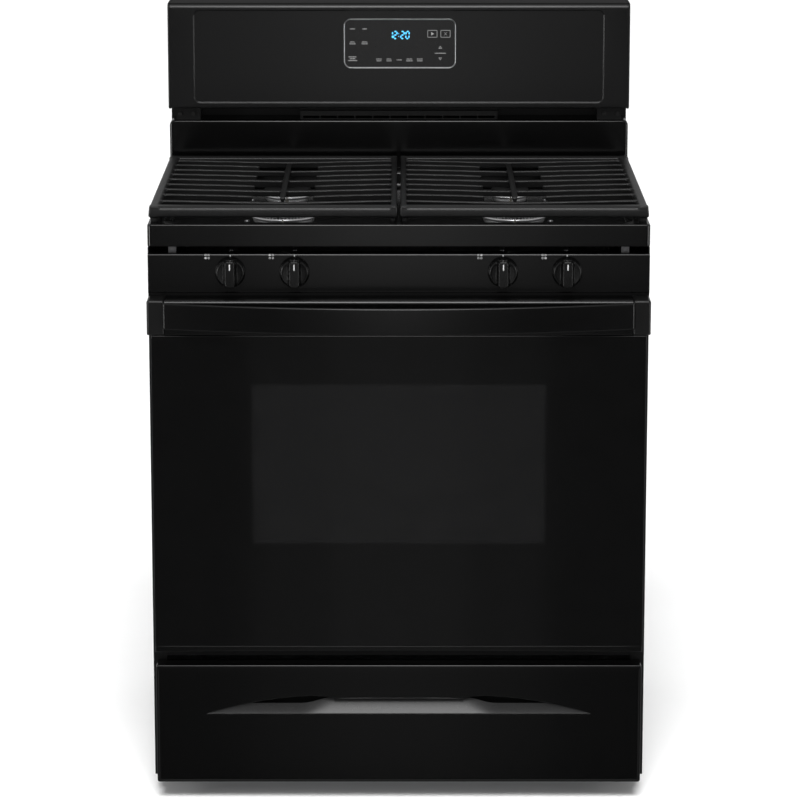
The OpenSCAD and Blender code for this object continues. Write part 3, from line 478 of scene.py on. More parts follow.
spots = [("front_left", -179, -86, 51), ("front_right", 179, -86, 51), ("rear_left", -179, 118, 38.5),
         ("rear_right", 179, 118, 31)]
for nm, x, y, r in spots:
    base = build("burner_base_" + nm, burner(x, y, r), "range", ["alu"],
                 sharp=50, weld=False)
    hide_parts("burner_bases")
    g = Geo()
    z = ZW + 14.5
    q = r - 1.05
    prof = [(q - 3, z), (q - 0.9, z + 0.02), (q - 0.2, z + 0.5), (q, z + 1.3), (q, z + 4.0),
            (q - 0.4, z + 5.2), (q - 1.4, z + 6.2), (q - 3.0, z + 6.9), (q - 5.5, z + 7.35),
            (q * 0.62, z + 8.0), (q * 0.58, z + 8.25), (q * 0.54, z + 8.1), (q * 0.3, z + 8.45), (0, z + 8.6)]
    g.loft(lathe(prof, 96, (x, y, 0)), cap0=True, cap1=True)
    cap = build("burner_cap_" + nm, g, "range", ["cap"], sharp=60)
    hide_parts("burner_caps")


# ------------------------------ grates
def bar(g, pts, w, h):
    """a cast bar along a path of (x, y, top z, height scale): flat top, rounded shoulders, narrower foot"""
    prof = [(-0.26, -1.0), (0.26, -1.0), (0.40, -0.42), (0.5, -0.2), (0.46, -0.06),
            (0.34, 0.0), (-0.34, 0.0), (-0.46, -0.06), (-0.5, -0.2), (-0.40, -0.42)]
    dx, dy = pts[-1][0] - pts[0][0], pts[-1][1] - pts[0][1]
    ln = math.hypot(dx, dy)
    nx, ny = -dy / ln, dx / ln
    rings = []
    for (x, y, z, s) in pts:
        ww = w if s >= 0.95 else w * (0.75 + 0.25 * s)
        rings.append([(x + nx * p * ww, y + ny * p * ww, z + q * h * s) for p, q in prof])
    g.loft(rings)


def grate(side):
    """the right-hand grate when side is 1, the left-hand one when it is -1"""
    g = Geo()
    # top of the rails, then the grate's inner, outer, front and rear limits
    T = 923.5
    gi, go, gf, gr = 2.0, HX - 1.5, -249.0, 273.0
    # inner side of the outer rail, and the rails' underside
    top = go - 16
    z0 = T - 16
    # width and height of a bar, and how far the bars dip
    bw, bh, dip = 7.6, 9.5, 3.4
    # line of the burners, and the clear half width over them
    bx, gap = 179.0, 47.0

    def level(x):
        """the bars run down a little from the rails towards the line of the burners"""
        a, b = (gi + 8, bx) if x < bx else (bx, top)
        t = max(0.0, min(1.0, (x - a) / (b - a)))
        t = t if x < bx else 1 - t
        return T - 0.15 - dip * t * t * (3 - 2 * t) * 0.5 - dip * t * 0.5

    def cross(x0, x1, y):
        """a finger from a rail to the gap over a burner, thinner at its tip"""
        n = 10
        pts = []
        for i in range(n + 1):
            x = x0 + (x1 - x0) * i / n
            tip = max(0.0, 1 - abs(abs(x - bx) - gap) / 40)
            pts.append((x, y, level(x) - 0.8 * tip ** 2, 1.0 - 0.25 * tip ** 2))
        bar(g, pts, bw, bh)

    # front rail, rear rail and outer rail
    zf = z0 - 1.6
    front = [(gf + 4.5, zf), (gf + 12, zf), (gf + 20, T - 7), (gf + 20, T - 1.8), (gf + 18.4, T - 0.2),
             (gf + 8, T), (gf + 4.6, T - 0.9), (gf + 1.6, T - 3.2), (gf + 0.2, T - 6.5), (gf + 0.2, zf + 5),
             (gf + 1.6, zf + 1.8)]
    rear = [(gr - 24, z0), (gr - 2, z0), (gr - 0.2, z0 + 2), (gr - 0.2, T - 3), (gr - 1.8, T - 0.9),
            (gr - 5, T), (gr - 21, T), (gr - 23.2, T - 0.7), (gr - 24, T - 2.2)]
    for prof in (front, rear):
        g.loft([yz(prof, gi + 0.4), yz(prof, go - 0.2)])
    outer = [(top - 1, z0), (go + 0.9, z0), (go - 0.3, T - 4.5), (go - 1.2, T - 1.8), (go - 3.2, T - 0.2),
             (go - 6, T), (top + 3, T), (top + 1, T - 0.6), (top, T - 2)]
    g.loft([xz(outer, gf + 0.6), xz(outer, gr - 0.6)])
    # inner rail, full-width bars, fingers and the front-to-back bars over the burners
    bar(g, [(gi + 5.3, gf + 0.6, T - 0.05, 1.0), (gi + 5.3, gr - 0.6, T - 0.05, 1.0)], 9.2, 16)
    for y in (-189, -76, 28, 126, 223):
        n = 24
        pts = []
        for i in range(n + 1):
            x = gi + 3 + (top + 5 - gi - 3) * i / n
            pts.append((x, y, level(x), 1.0))
        bar(g, pts, bw + (2.4 if y == 28 else 0), bh + (2 if y == 28 else 0))
    for y in (-128, -25, 77, 177):
        cross(gi + 3, bx - gap, y)
        cross(bx + gap, top + 5, y)
    for y0, y1, drop in ((28, -137, 1.6), (28, 204, 0.4)):
        n = 10
        pts = []
        for i in range(n + 1):
            t = i / n
            pts.append((bx, y0 + (y1 - y0) * t, T - dip + 0.9 - drop * t ** 2, 1.0 - 0.15 * t ** 3))
        bar(g, pts, bw + 1.8, bh)
    # pads that take the feet
    for y in (gf + 10, gr - 8):
        g.loft(lathe([(4.7, z0 - 3), (4.9, z0 + 1), (4.9, z0 + 4)], 20, (gi + 7, y, 0)))
        g.loft(lathe([(6.9, z0 - 3), (7.2, z0 + 1), (7.2, z0 + 4)], 24, (go - 8, y, 0)))
    g.loft(lathe([(6.9, z0 - 3), (7.2, z0 + 1), (7.2, z0 + 4)], 24, (go - 8, 28, 0)))
    if side < 0:
        g.v = [(-x, y, z) for x, y, z in g.v]
    hand = "right" if side > 0 else "left"
    name = "grate_cast_" + hand
    ob = build(name, g, hand + "_grate", ["iron"], weighted=False, weld=False)
    # the bars are fused into one casting, and its edges softened
    rm = ob.modifiers.new("cast", "REMESH")
    rm.mode = "VOXEL"
    rm.voxel_size = 0.0014
    rm.use_smooth_shade = True
    sm = ob.modifiers.new("soften", "SMOOTH")
    sm.factor = 0.5
    sm.iterations = 2
    dg = bpy.context.evaluated_depsgraph_get()
    me = bpy.data.meshes.new_from_object(ob.evaluated_get(dg))
    ob.modifiers.clear()
    old = ob.data
    ob.data = me
    bpy.data.meshes.remove(old)
    if not me.materials:
        me.materials.append(M["iron"])
    me.polygons.foreach_set("use_smooth", [True] * len(me.polygons))
    me.name = name
    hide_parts("grate_" + hand)


grate(1)
grate(-1)


# ------------------------------ knob panel and knobs
g = Geo()
lo, hi = mm_box("manifold_panel")
YP, ZP0, ZP1 = lo[1], lo[2], hi[2]
# front sheet bent back along its top, bottom and sides
prof = [(YP + 23.9, ZP0 + 1.4), (YP + 23.9, ZP0), (YP + 3, ZP0)]
prof += [(YP + 3 - 3 * math.sin(a), ZP0 + 3 - 3 * math.cos(a)) for a in quarter_turn(5, 1)]
prof += [(YP + 3.5 - 3.5 * math.cos(a), ZP1 - 3.5 + 3.5 * math.sin(a)) for a in quarter_turn(5)]
prof += [(YP + 23.9, ZP1), (YP + 23.9, ZP1 - 1.4), (YP + 4.5, ZP1 - 1.4), (YP + 2, ZP1 - 4),
         (YP + 2, ZP0 + 4), (YP + 4, ZP0 + 1.4)]
g.loft([yz(prof, -HX + 1), yz(prof, HX - 1)])
# end pieces of the panel, which run back to the front frame
back = -261.2
for x_in, x_out in ((-HX, -HX + 1.2), (HX - 1.2, HX)):
    g.loft([yz([(front, ZP0 + 0.6), (back, ZP0 + 0.2), (back, ZP1 - 0.2), (front, ZP1 - 0.6)], x)
            for front, x in ((YP + 1.0, x_in), (YP + 0.3, x_out))])
ob = build("knob_panel", g, "range", ["enamel_panel"], sharp=50, weld=False)
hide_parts("manifold_panel")

KNOB_Y = mm_box("knob_left_outer")[1][1]
KNOB_Z = 826.0


def knob(nm, kx):
    """round skirt, a blade grip with a wide root and crisp front edges, and the line printed on its front"""
    g = Geo()
    skirt = [(18, 0), (22.0, 0.0), (22.6, 0.5), (22.7, 1.2), (22.7, 2.4), (22.3, 3.1), (21.6, 4.4),
             (21.2, 6.4), (20.9, 7.6), (20.2, 8.6), (19.2, 9.0), (17.6, 8.6), (16.5, 8.2), (0, 8.0)]
    g.loft(lathe(skirt, 72, (kx, KNOB_Y, KNOB_Z), "y"))
    front = KNOB_Y - 24
    # how far forward, width, height and corner radius
    blade = ((KNOB_Y - 6.5, 24.0, 41.4, 5.5), (KNOB_Y - 8.4, 23.4, 41.3, 5.3),
             (KNOB_Y - 9.4, 22.0, 41.2, 5.0), (KNOB_Y - 10.4, 19.6, 41.0, 4.8),
             (KNOB_Y - 15, 17.4, 40.8, 4.4), (KNOB_Y - 20, 15.6, 40.4, 3.8),
             (front + 2.2, 15.0, 40.2, 3.6), (front + 1.1, 14.5, 39.7, 3.3),
             (front + 0.4, 13.4, 38.6, 2.9), (front, 11.8, 37.0, 2.4))
    g.loft([xz(rr(kx - w / 2, kx + w / 2, KNOB_Z - tall / 2, KNOB_Z + tall / 2, r, 5), y)
            for y, w, tall, r in blade])
    ob = build("knob_" + nm + "_body", g, "knob_" + nm, ["knob"], sharp=42, weld=False)
    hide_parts("knob_" + nm)
    g = Geo()
    g.loft(slab_rings(kx - 0.85, kx + 0.85, KNOB_Z + 7.2, KNOB_Z + 16.2, 0.4,
                      front - 0.12, front + 0.5, 0.1, 0.1, 2))
    build("knob_" + nm + "_line", g, "knob_" + nm, ["print"], weld=False)


def panel_marks(nm, kx, mine):
    """a printed tick above the knob, and a plan of the four burners with its own filled in"""
    g = Geo()
    g.loft(slab_rings(kx - 0.9, kx + 0.9, KNOB_Z + 23.6, KNOB_Z + 26.4, 0.3,
                      YP - 0.06, YP + 0.3, 0.03, 0.03, 2))
    cx, cz = kx - 35, KNOB_Z + 23.5
    for burner_at in ((-1, -1), (-1, 1), (1, -1), (1, 1)):
        at = (cx + burner_at[0] * 2.3, YP, cz + burner_at[1] * 2.3)
        if burner_at == mine:
            g.loft(lathe([(1.75, -0.3), (1.75, 0.06)], 20, at, "y"))
        else:
            g.loft(lathe([(1.6, -0.3), (1.6, 0.05), (0.95, 0.05), (0.95, -0.3)], 20, at, "y"),
                   cap0=False, cap1=False)
    build("panel_marks_" + nm, g, "range", ["print_dim"], weld=False)


# each knob's place across the panel, and its burner: left or right, front or rear
for nm, kx, mine in (("left_outer", -254.5, (-1, -1)), ("left_inner", -157.5, (-1, 1)),
                     ("right_inner", 157.5, (1, 1)), ("right_outer", 254.5, (1, -1))):
    knob(nm, kx)
    panel_marks(nm, kx, mine)


# ------------------------------ console
lo, hi = mm_box("console_shell")
YC, YB = lo[1], hi[1]
ZC0, ZC1 = lo[2], hi[2]
XC = hi[0]
g = Geo()
# the shell behind the face, then the face with its pressed field and the opening for the panel
rings = [xz(rr(-XC, XC, ZC0, ZC1, 2, 5), YB), xz(rr(-XC, XC, ZC0, ZC1, 2, 5), YC + 9)]
for a in quarter_turn(6, 1):
    top = 9 * (1 - math.cos(a))
    bot = 3.5 * (1 - math.cos(a))
    rings.append(xz(rr(-XC, XC, ZC0 + bot, ZC1 - top, 1.0, 5), YC + 9 * (1 - math.sin(a))))
# the field's pressed border
fx, fz0, fz1 = 337.6, 1009.4, 1163.6
for d, dy in ((0, 0), (0.5, 0.12), (1.0, 0.5), (1.5, 1.0), (2.1, 1.3), (2.8, 1.4)):
    rings.append(xz(inset(-fx, fx, fz0, fz1, 10.5, d, 5), YC + dy))
# the touch panel's outline
px0, px1, pz0, pz1, PR = -90.5, 94.0, 1067.0, 1149.0, 12
for d in (-1.2, 0.4):
    rings.append(xz(inset(px0, px1, pz0, pz1, PR, d, 5), YC + 1.4))
rings.append(xz(inset(px0, px1, pz0, pz1, PR, 0.5, 5), YC + 6))
g.loft(rings)


def shade_top_painted(ob):
    """the top of the console gets a darker, barely reflective copy of its paint, a painted shade that dims
    the bright band it shows because it is seen edge-on
    """
    ob.data.materials.append(M["console_top"])
    for p in ob.data.polygons:
        if p.normal.z > 0.8:
            p.material_index = 1


ob = build("console_body", g, "range", ["console"], sharp=55)
shade_top_painted(ob)
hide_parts("console_shell")

# end caps: the console's side outline, drawn in towards its outer face
r = 9
outline = [(YB, ZC0), (YB, ZC1)]
outline += [(YC + r - r * math.sin(a), ZC1 - r + r * math.cos(a)) for a in quarter_turn(7)]
outline += [(YC + 3.5 - 3.5 * math.cos(a), ZC0 + 3.5 - 3.5 * math.sin(a)) for a in quarter_turn(5)]
cy, cz = (YC + YB) / 2, (ZC0 + ZC1) / 2


def shrink(d):
    return [(cy + (y - cy) * (1 - d / 40.0), cz + (z - cz) * (1 - d / 86.0)) for y, z in outline]


for s, hand in ((-1, "left"), (1, "right")):
    g = Geo()
    g.loft([yz(shrink(d), s * (HX - inward)) for d, inward in
            ((0, 3.6), (0, 2.0), (0.25, 1.0), (0.8, 0.35), (1.6, 0.08), (2.6, 0))])
    ob = build("console_cap_" + hand, g, "range", ["plastic"], sharp=50)
    shade_top_painted(ob)
    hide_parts("console_end_caps")

# bezel and touch film
YF = YC + 1.4


def panel_ring(d, y):
    return xz(inset(px0, px1, pz0, pz1, PR, d, 8), y)


g = Geo()
g.loft([panel_ring(d, YF + y) for d, y in
        ((0.3, 1), (0.3, -1.4), (0.42, -2.05), (0.7, -2.2), (0.95, -2.15), (2.4, -1.1), (2.4, 1))],
       cap0=False, cap1=False)
ob = build("panel_bezel_ring", g, "range", ["silver"], sharp=70)
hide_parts("panel_bezel")
g = Geo()
g.loft([panel_ring(2.45, YF + 2.6), panel_ring(2.45, YF - 0.7), panel_ring(2.9, YF - 0.95)])
ob = build("touch_film", g, "range", ["film"], sharp=60)
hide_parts("touch_panel")
YG = YF - 0.95

# printed dashes that stand where the key labels are
g = Geo()


def mark(x0, x1, z0, z1, r=0.25):
    g.loft(slab_rings(x0, x1, z0, z1, r, YG - 0.05, YG + 0.2, 0.03, 0.03, 2))


def frame_mark(x0, x1, z0, z1, t=0.7, r=1.4):
    g.loft([xz(rr(x0, x1, z0, z1, r, 4), YG + 0.2), xz(rr(x0, x1, z0, z1, r, 4), YG - 0.05),
            xz(inset(x0, x1, z0, z1, r, t, 4), YG - 0.05), xz(inset(x0, x1, z0, z1, r, t, 4), YG + 0.2)],
           cap0=False, cap1=False)


def key_label(x, z, rows):
    """rows of small unequal dashes standing for printed words, with nothing to read"""
    for i, w in enumerate(rows):
        zz = z + (len(rows) - 1) * 1.5 - i * 3.0
        a, k = x - w / 2, len(rows) + round(abs(x)) + i
        while a < x + w / 2 - 0.5:
            step = (1.5, 1.0, 1.25, 0.7, 1.4, 1.1)[k % 6]
            mark(a, min(a + step, x + w / 2), zz - 0.72, zz + (0.55, 0.95, 0.55, 0.6, 0.95)[k % 5], 0.15)
            a += step + 0.38
            k += 1


for x, z, rows in ((-76, 1132, (8,)), (-56, 1132, (8,)), (-76, 1109, (8, 10)), (-56, 1109, (9, 10)),
                   (-76, 1083, (13, 9, 15)), (-32.5, 1081, (9, 8)), (-16, 1081, (8, 8)), (0.8, 1081, (9,)),
                   (17.5, 1081, (9, 11)), (34.5, 1081, (9, 9)), (68, 1092, (18,))):
    key_label(x, z, rows)
frame_mark(47, 63, 1118, 1130)
frame_mark(68.5, 84.5, 1118, 1130)
# start triangle and cancel cross in the two boxes, then the up and down arrows
g.add([(53, YG - 0.05, 1121.2), (58, YG - 0.05, 1124), (53, YG - 0.05, 1126.8)], [[0, 1, 2]])
box_x, box_z, arm, thick = 76.5, 1124, 2.6, 0.6
for s in (-1, 1):
    stroke = [(box_x - arm, box_z - s * arm), (box_x - arm + thick, box_z - s * arm),
              (box_x + arm, box_z + s * arm), (box_x + arm - thick, box_z + s * arm)]
    g.add(xz(stroke, YG - 0.05), [[0, 1, 2, 3]])
for zc, s in ((1101.5, 1), (1083, -1)):
    outer = [(65.2, zc - 1.8 * s), (70.8, zc - 1.8 * s), (68, zc + 2.6 * s)]
    inner = [(66.5, zc - 1.1 * s), (69.5, zc - 1.1 * s), (68, zc + 1.3 * s)]
    g.add(xz(outer + inner, YG - 0.05), [[0, 1, 4, 3], [1, 2, 5, 4], [2, 0, 3, 5]])
build("touch_marks", g, "range", ["print_dim"], weld=False, weighted=False)

# clock digits
g = Geo()
SEG = {"1": "bc", "2": "abged", "0": "abcdef"}


def seg_bar(x0, z0, x1, z1, t=1.15):
    """one segment of a digit, pointed at both ends"""
    dx, dz = x1 - x0, z1 - z0
    ln = math.hypot(dx, dz)
    ax, az = dx / ln * t, dz / ln * t
    p = [(x0, z0), (x0 + ax - az, z0 + az + ax), (x1 - ax - az, z1 - az + ax), (x1, z1),
         (x1 - ax + az, z1 - az - ax), (x0 + ax + az, z0 + az - ax)]
    g.loft([xz(p, YG + 0.2), xz(p, YG - 0.06)])


def digit(ch, x, z, w=5.2, h=11.6):
    lean = 0.05

    def P(u, v):
        return (x + u * w + (v - 0.5) * h * lean, z + (v - 0.5) * h)

    lines = {"a": ((0.1, 1), (0.9, 1)), "b": ((1, 0.95), (1, 0.55)), "c": ((1, 0.45), (1, 0.05)),
             "d": ((0.1, 0), (0.9, 0)), "e": ((0, 0.45), (0, 0.05)), "f": ((0, 0.95), (0, 0.55)),
             "g": ((0.1, 0.5), (0.9, 0.5))}
    for s in SEG[ch]:
        (u0, v0), (u1, v1) = lines[s]
        seg_bar(*P(u0, v0), *P(u1, v1))


CLOCK_Z = 1122
for ch, x in (("1", -15.6), ("2", -8.4), ("2", 3.4), ("0", 11.6)):
    digit(ch, x, CLOCK_Z)
for dz in (-2.2, 2.2):
    g.loft(lathe([(0.8, -0.2), (0.8, 0.06)], 10, (-0.3, YG, CLOCK_Z + dz), "y"))
build("clock_digits", g, "range", ["digits"], weld=False, weighted=False)

# ------------------------------ splash panel
lo, hi = mm_box("splash_panel")
g = Geo()
rings = [xz(rr(-HX, HX, lo[2], hi[2], (0.5, 10, 10, 0.5), 6), hi[1])]
for d, h in quarter(4.5, 5):
    rings.append(xz(inset(-HX, HX, lo[2], hi[2], (0.5, 10, 10, 0.5), d, 6), lo[1] + h))
g.loft(rings)
ob = build("splash_sheet", g, "range", ["enamel"], sharp=50)
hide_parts("splash_panel")

# ------------------------------ cover round the gas inlet
# a plate just inside the rear panel's cut-out, with a raised collar round the regulator's spout
inlet = next(mount for mount in frame["record"]["mounts"] if mount["name"] == "gas_inlet")
ix, iz = inlet["pos_m"][0] * 1000, inlet["pos_m"][2] * 1000
y_back = mm_box("rear_panel")[1][1] - 1.6
y_front = y_back - 1.0


def inlet_ring(half, r, y):
    return xz(rr(ix - half, ix + half, iz - half, iz + half, r, 6), y)


g = Geo()
g.loft([inlet_ring(55, 4, y_front), inlet_ring(55, 4, y_back), inlet_ring(23, 23, y_back),
        inlet_ring(21.6, 21.6, y_back + 1.0), inlet_ring(17.4, 17.4, y_back + 1.0),
        inlet_ring(17, 17, y_back + 0.7), inlet_ring(17, 17, y_front), inlet_ring(55, 4, y_front)],
       cap0=False, cap1=False)
build("gas_inlet_cover", g, "range", ["galv"], sharp=50)

# ------------------------------ oven door
lo, hi = mm_box("door_outer_glass")
g = Geo()
x1 = hi[0]
n = 6
rings = [xz(rr(-WIN_X, WIN_X, WIN_Z0, WIN_Z1, 14, n), hi[1]),
         xz(inset(-x1, x1, lo[2], hi[2], 3, 0.6, n), hi[1]),
         xz(rr(-x1, x1, lo[2], hi[2], 3, n), hi[1] - 0.6)]
for d, h in quarter(1.4, 4):
    rings.append(xz(inset(-x1, x1, lo[2], hi[2], 3, d, n), lo[1] + h))
for d in (-9, -6, -3, 0):
    rings.append(xz(inset(-WIN_X, WIN_X, WIN_Z0, WIN_Z1, 14 - d, d, n), lo[1]))
g.loft(rings, mats=[0] * (len(rings) - 2) + [1])
# the caps are the two faces of the window
g.m[-2] = 1
g.m[-1] = 1
ob = build("door_glass", g, "door", ["glass_border", "glass_window"], sharp=40)
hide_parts("door_outer_glass")

# top trim between the end caps, the end caps, the bottom trim
lo, hi = mm_box("door_top_trim")
g = Geo()
zt0, zt1, yt0, yt1 = lo[2], hi[2], lo[1], hi[1]
prof = [(yt1, zt0 + 0.5), (yt1, zt1 - 1), (yt1 - 1, zt1)]
prof += [(yt0 + 6 - 6 * math.sin(a), zt1 - 6 + 6 * math.cos(a)) for a in quarter_turn(7)]
prof += [(yt0 + 2 - 2 * math.cos(a), zt0 + 2 - 2 * math.sin(a)) for a in quarter_turn(4)]
g.loft([yz(prof, lo[0]), yz(prof, hi[0])])
ob = build("door_trim_top", g, "door", ["enamel_panel"], sharp=50)
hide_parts("door_top_trim")
lo, hi = mm_box("door_end_caps")
for x0, x1, hand in ((-HX, -352.6, "left"), (352.6, HX, "right")):
    g = Geo()
    g.loft(slab_rings(x0, x1, lo[2], hi[2], (2, 4, 4, 2), lo[1], hi[1], 4.0, 1.0, 5))
    ob = build("door_cap_" + hand, g, "door", ["plastic"], sharp=50)
    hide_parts("door_end_caps")
lo, hi = mm_box("door_bottom_trim")
g = Geo()
rings = []
N = 24
# the trim stops short of its CAD solid's back, clear of the front frame as the door swings
back = hi[1] - 6.8
for yy, d in ((back, 1.0), (back - 1, 0.3), (lo[1] + 2.2, 0.0), (lo[1] + 0.9, 0.4),
              (lo[1] + 0.25, 1.0), (lo[1], 1.9)):
    ring = []
    for i in range(N + 1):
        x = lo[0] + d + (hi[0] - lo[0] - 2 * d) * i / N
        ring.append((x, yy, lo[2] + d + 1.6 * (1 - (x / hi[0]) ** 2)))
    for i in range(N + 1):
        x = hi[0] - d - (hi[0] - lo[0] - 2 * d) * i / N
        ring.append((x, yy, hi[2] - d * 0.4))
    rings.append(ring)
g.loft(rings)
ob = build("door_trim_bottom", g, "door", ["enamel_panel"], sharp=50)
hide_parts("door_bottom_trim")

# bowed strap handle with rounded edges and end feet
lo, hi = mm_box("door_handle")
g = Geo()
hx = hi[0]
bow = 44.0
R = (hx * hx + bow * bow) / (2 * bow)
yc = lo[1] + R
zh0, zh1 = lo[2], hi[2]
# section of the strap: rounded lower and upper front edges, and a flat back
t = 5.0
sec = [(2.2 * (1 - math.sin(a)), zh0 + 2.2 * (1 - math.cos(a))) for a in quarter_turn(5)]
sec += [(2.6 * (1 - math.cos(a)), zh1 - 2.6 + 2.6 * math.sin(a)) for a in quarter_turn(6)]
sec += [(t - 0.6, zh1), (t, zh1 - 0.8), (t, zh0 + 0.8), (t - 0.6, zh0)]
# its two ends are rounded too, over the last few millimetres
EDGE = 3.2
ends = [EDGE * (1 - math.cos(a)) for a in quarter_turn(7)]
middle = [-hx + EDGE + 2 * (hx - EDGE) * i / 64 for i in range(1, 64)]
rings = []
for x in [-hx + v for v in ends] + middle + [hx - v for v in reversed(ends)]:
    e = min(1.0, (hx - abs(x)) / EDGE)
    sh = 1 - math.sqrt(max(0.0, 1 - (1 - e) ** 2))
    yo = yc - math.sqrt(R * R - x * x)
    ring = []
    for y, z in sec:
        inward = EDGE * sh if y < t - 1 else 0
        squeeze = 0.8 * sh if z < (zh0 + zh1) / 2 else -0.8 * sh
        ring.append((x, yo + min(t, y + inward), z + squeeze))
    rings.append(ring)
g.loft(rings)
# feet between the strap's ends and the door
foot_front = yc - math.sqrt(R * R - (hx - 9) ** 2) + 2.5
for x0, x1 in ((-hx + 1.6, -hx + 18), (hx - 18, hx - 1.6)):
    g.loft(slab_rings(x0, x1, zh0 + 2, zh1 - 2, 2.0, foot_front, hi[1], 1.2, 0.2, 4))
ob = build("door_strap", g, "door", ["enamel_panel"], sharp=48, weld=False)
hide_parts("door_handle")

# ------------------------------ drawer front
lo, hi = mm_box("drawer_front")
DX, DY0, DY1, DZ0, DZ1 = hi[0], lo[1], hi[1], lo[2], hi[2]
# half width of the pull's opening and the height of its lower edge
PULL_X, PULL_Z = 295, 141.0
# points along the long sides of the drawer's outline and of the opening
N_FRONT = 72


def arch(x):
    """height of the pull opening's upper edge: flat over the middle, falling away to the ends"""
    u = abs(x)
    if u < 92:
        return 166.6
    if u < 130:
        t = (u - 92) / 38
        return 166.6 + 2.6 * (3 * t * t - 2 * t ** 3)
    t = (u - 130) / 165
    return PULL_Z + 28.2 * max(0.0, 1 - t ** 1.75)


def pull_ring(y, top_d, bot_d, xs=1.0):
    """the opening's outline, moved by top_d and bot_d, and widened by xs"""
    across = [-PULL_X + 2 * PULL_X * i / N_FRONT for i in range(N_FRONT + 1)]
    ring = [(x * xs, y, PULL_Z + bot_d) for x in across]
    ring += [(x * xs, y, max(arch(x) + top_d, PULL_Z + bot_d + 0.3)) for x in reversed(across)]
    return ring


def outer_ring(d, y):
    """the drawer's outline with as many points as the pull's, so the two can be joined"""
    ring = []
    side = min(d, 2.5 + 0.2 * d)
    x0, x1, z0, z1 = -DX + side, DX - side, DZ0 + side, DZ1 - d
    r = max(3.5 - side, 0.05)

    def corner(cx, cz, a0, k):
        turn = [math.radians(a0 + 90 * i / k) for i in range(k + 1)]
        return [(cx + r * math.cos(a), y, cz + r * math.sin(a)) for a in turn]

    k = 5
    ring += corner(x0 + r, z0 + r, 180, k)
    m = N_FRONT + 1 - 2 * (k + 1)
    ring += [(x0 + r + (x1 - x0 - 2 * r) * (i + 1) / (m + 1), y, z0) for i in range(m)]
    ring += corner(x1 - r, z0 + r, 270, k)
    ring += corner(x1 - r, z1 - r, 0, k)
    ring += [(x1 - r - (x1 - x0 - 2 * r) * (i + 1) / (m + 1), y, z1) for i in range(m)]
    ring += corner(x0 + r, z1 - r, 90, k)
    return ring


g = Geo()
rings = [outer_ring(2.5, DY1), outer_ring(0.3, DY1), outer_ring(0, DY1 - 0.4)]
# a crisp edge at the top, then a soft fall to the flat of the face
for d, h in ((0.0, 3.4), (0.15, 2.7), (0.6, 2.05), (1.3, 1.65), (3.0, 1.2), (5.5, 0.78), (8.5, 0.4),
             (11.5, 0.14), (14.5, 0.03), (17.5, 0.0)):
    rings.append(outer_ring(d, DY0 + h))
rings.append(pull_ring(DY0, 1.2, -0.6, 1.004))
rings.append(pull_ring(DY0 + 0.35, 0.5, -0.2, 1.002))
rings.append(pull_ring(DY0 + 1.0, 0.0, 0.3, 1.0))
g.loft(rings, cap0=True, cap1=False)
# scoop behind the opening: its floor climbs far in the middle and less at the sides, with a hollow behind it
N = 96
ROWS = 10


def smooth(t):
    t = max(0.0, min(1.0, t))
    return t * t * (3 - 2 * t)


def floor_point(x, t):
    u = abs(x)
    mid = 1 - smooth((u - 95) / 55)
    end = smooth((PULL_X - u) / 52)
    deep = 1.0 + (5.2 + 8.0 * mid) * (0.15 + 0.85 * end)
    top = 142.0 + (14.2 + 8.2 * mid) * (0.1 + 0.9 * end)
    # rises a little faster near the back
    return (x, DY0 + 1.0 + (deep - 1.0) * t, 141.3 + (top - 141.3) * (0.75 * t + 0.25 * t * t))


rows = [[floor_point(-PULL_X + 2 * PULL_X * i / N, j / ROWS) for i in range(N + 1)] for j in range(ROWS + 1)]
# rolled edge, then down and back into the hollow, up the back and forward to the upper edge
last = rows[-1]
rows.append([(p[0], p[1] + 0.9, p[2] + 0.15) for p in last])
rows.append([(p[0], p[1] + 1.6, p[2] - 0.6) for p in last])
rows.append([(p[0], max(p[1] + 3.0, DY0 + 21), p[2] - 3.5) for p in last])
rows.append([(p[0], DY0 + 27, 150.0) for p in last])
rows.append([(p[0], DY0 + 27, 180.0) for p in last])
rows.append([(p[0], DY0 + 4.0, 182.0) for p in last])
rows.append([(p[0], DY0 + 3.0, max(arch(p[0]) + 1.5, 144.0)) for p in last])
rows.append([(p[0], DY0 + 1.0, max(arch(p[0]), 141.6)) for p in last])
verts = [p for r in rows for p in r]
nf = ROWS + 1
# the scoop's floor takes the pull's painted-highlight copy of the enamel
for a, b2, mi in ((0, nf, 2), (nf, len(rows) - 3, 1), (len(rows) - 3, len(rows) - 1, 0)):
    faces = [[j * (N + 1) + i, j * (N + 1) + i + 1, (j + 1) * (N + 1) + i + 1, (j + 1) * (N + 1) + i]
             for j in range(a, b2) for i in range(N)]
    g.add(verts, faces, mi)
# the hollow behind the scoop's floor takes the painted-shade copy of the enamel
ob = build("drawer_face", g, "drawer", ["enamel", "dark", "pull"], sharp=48, weld=True)
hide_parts("drawer_front")
# rolled lip along the middle of the pull, in the pull's painted-highlight copy of the enamel
g = Geo()
rings = []
for i in range(61):
    x = -100 + 200 * i / 60
    e = max(0.0, 1 - abs(x / 100) ** 6)
    rings.append([(x, DY0 + 3.2 + 1.6 * math.cos(a), 165.2 - 0.5 * (1 - e) + (0.25 + 1.0 * e) * math.sin(a))
                  for a in [2 * math.pi * q / 12 for q in range(12)]])
g.loft(rings)
build("drawer_pull_lip", g, "drawer", ["pull"], weld=False)

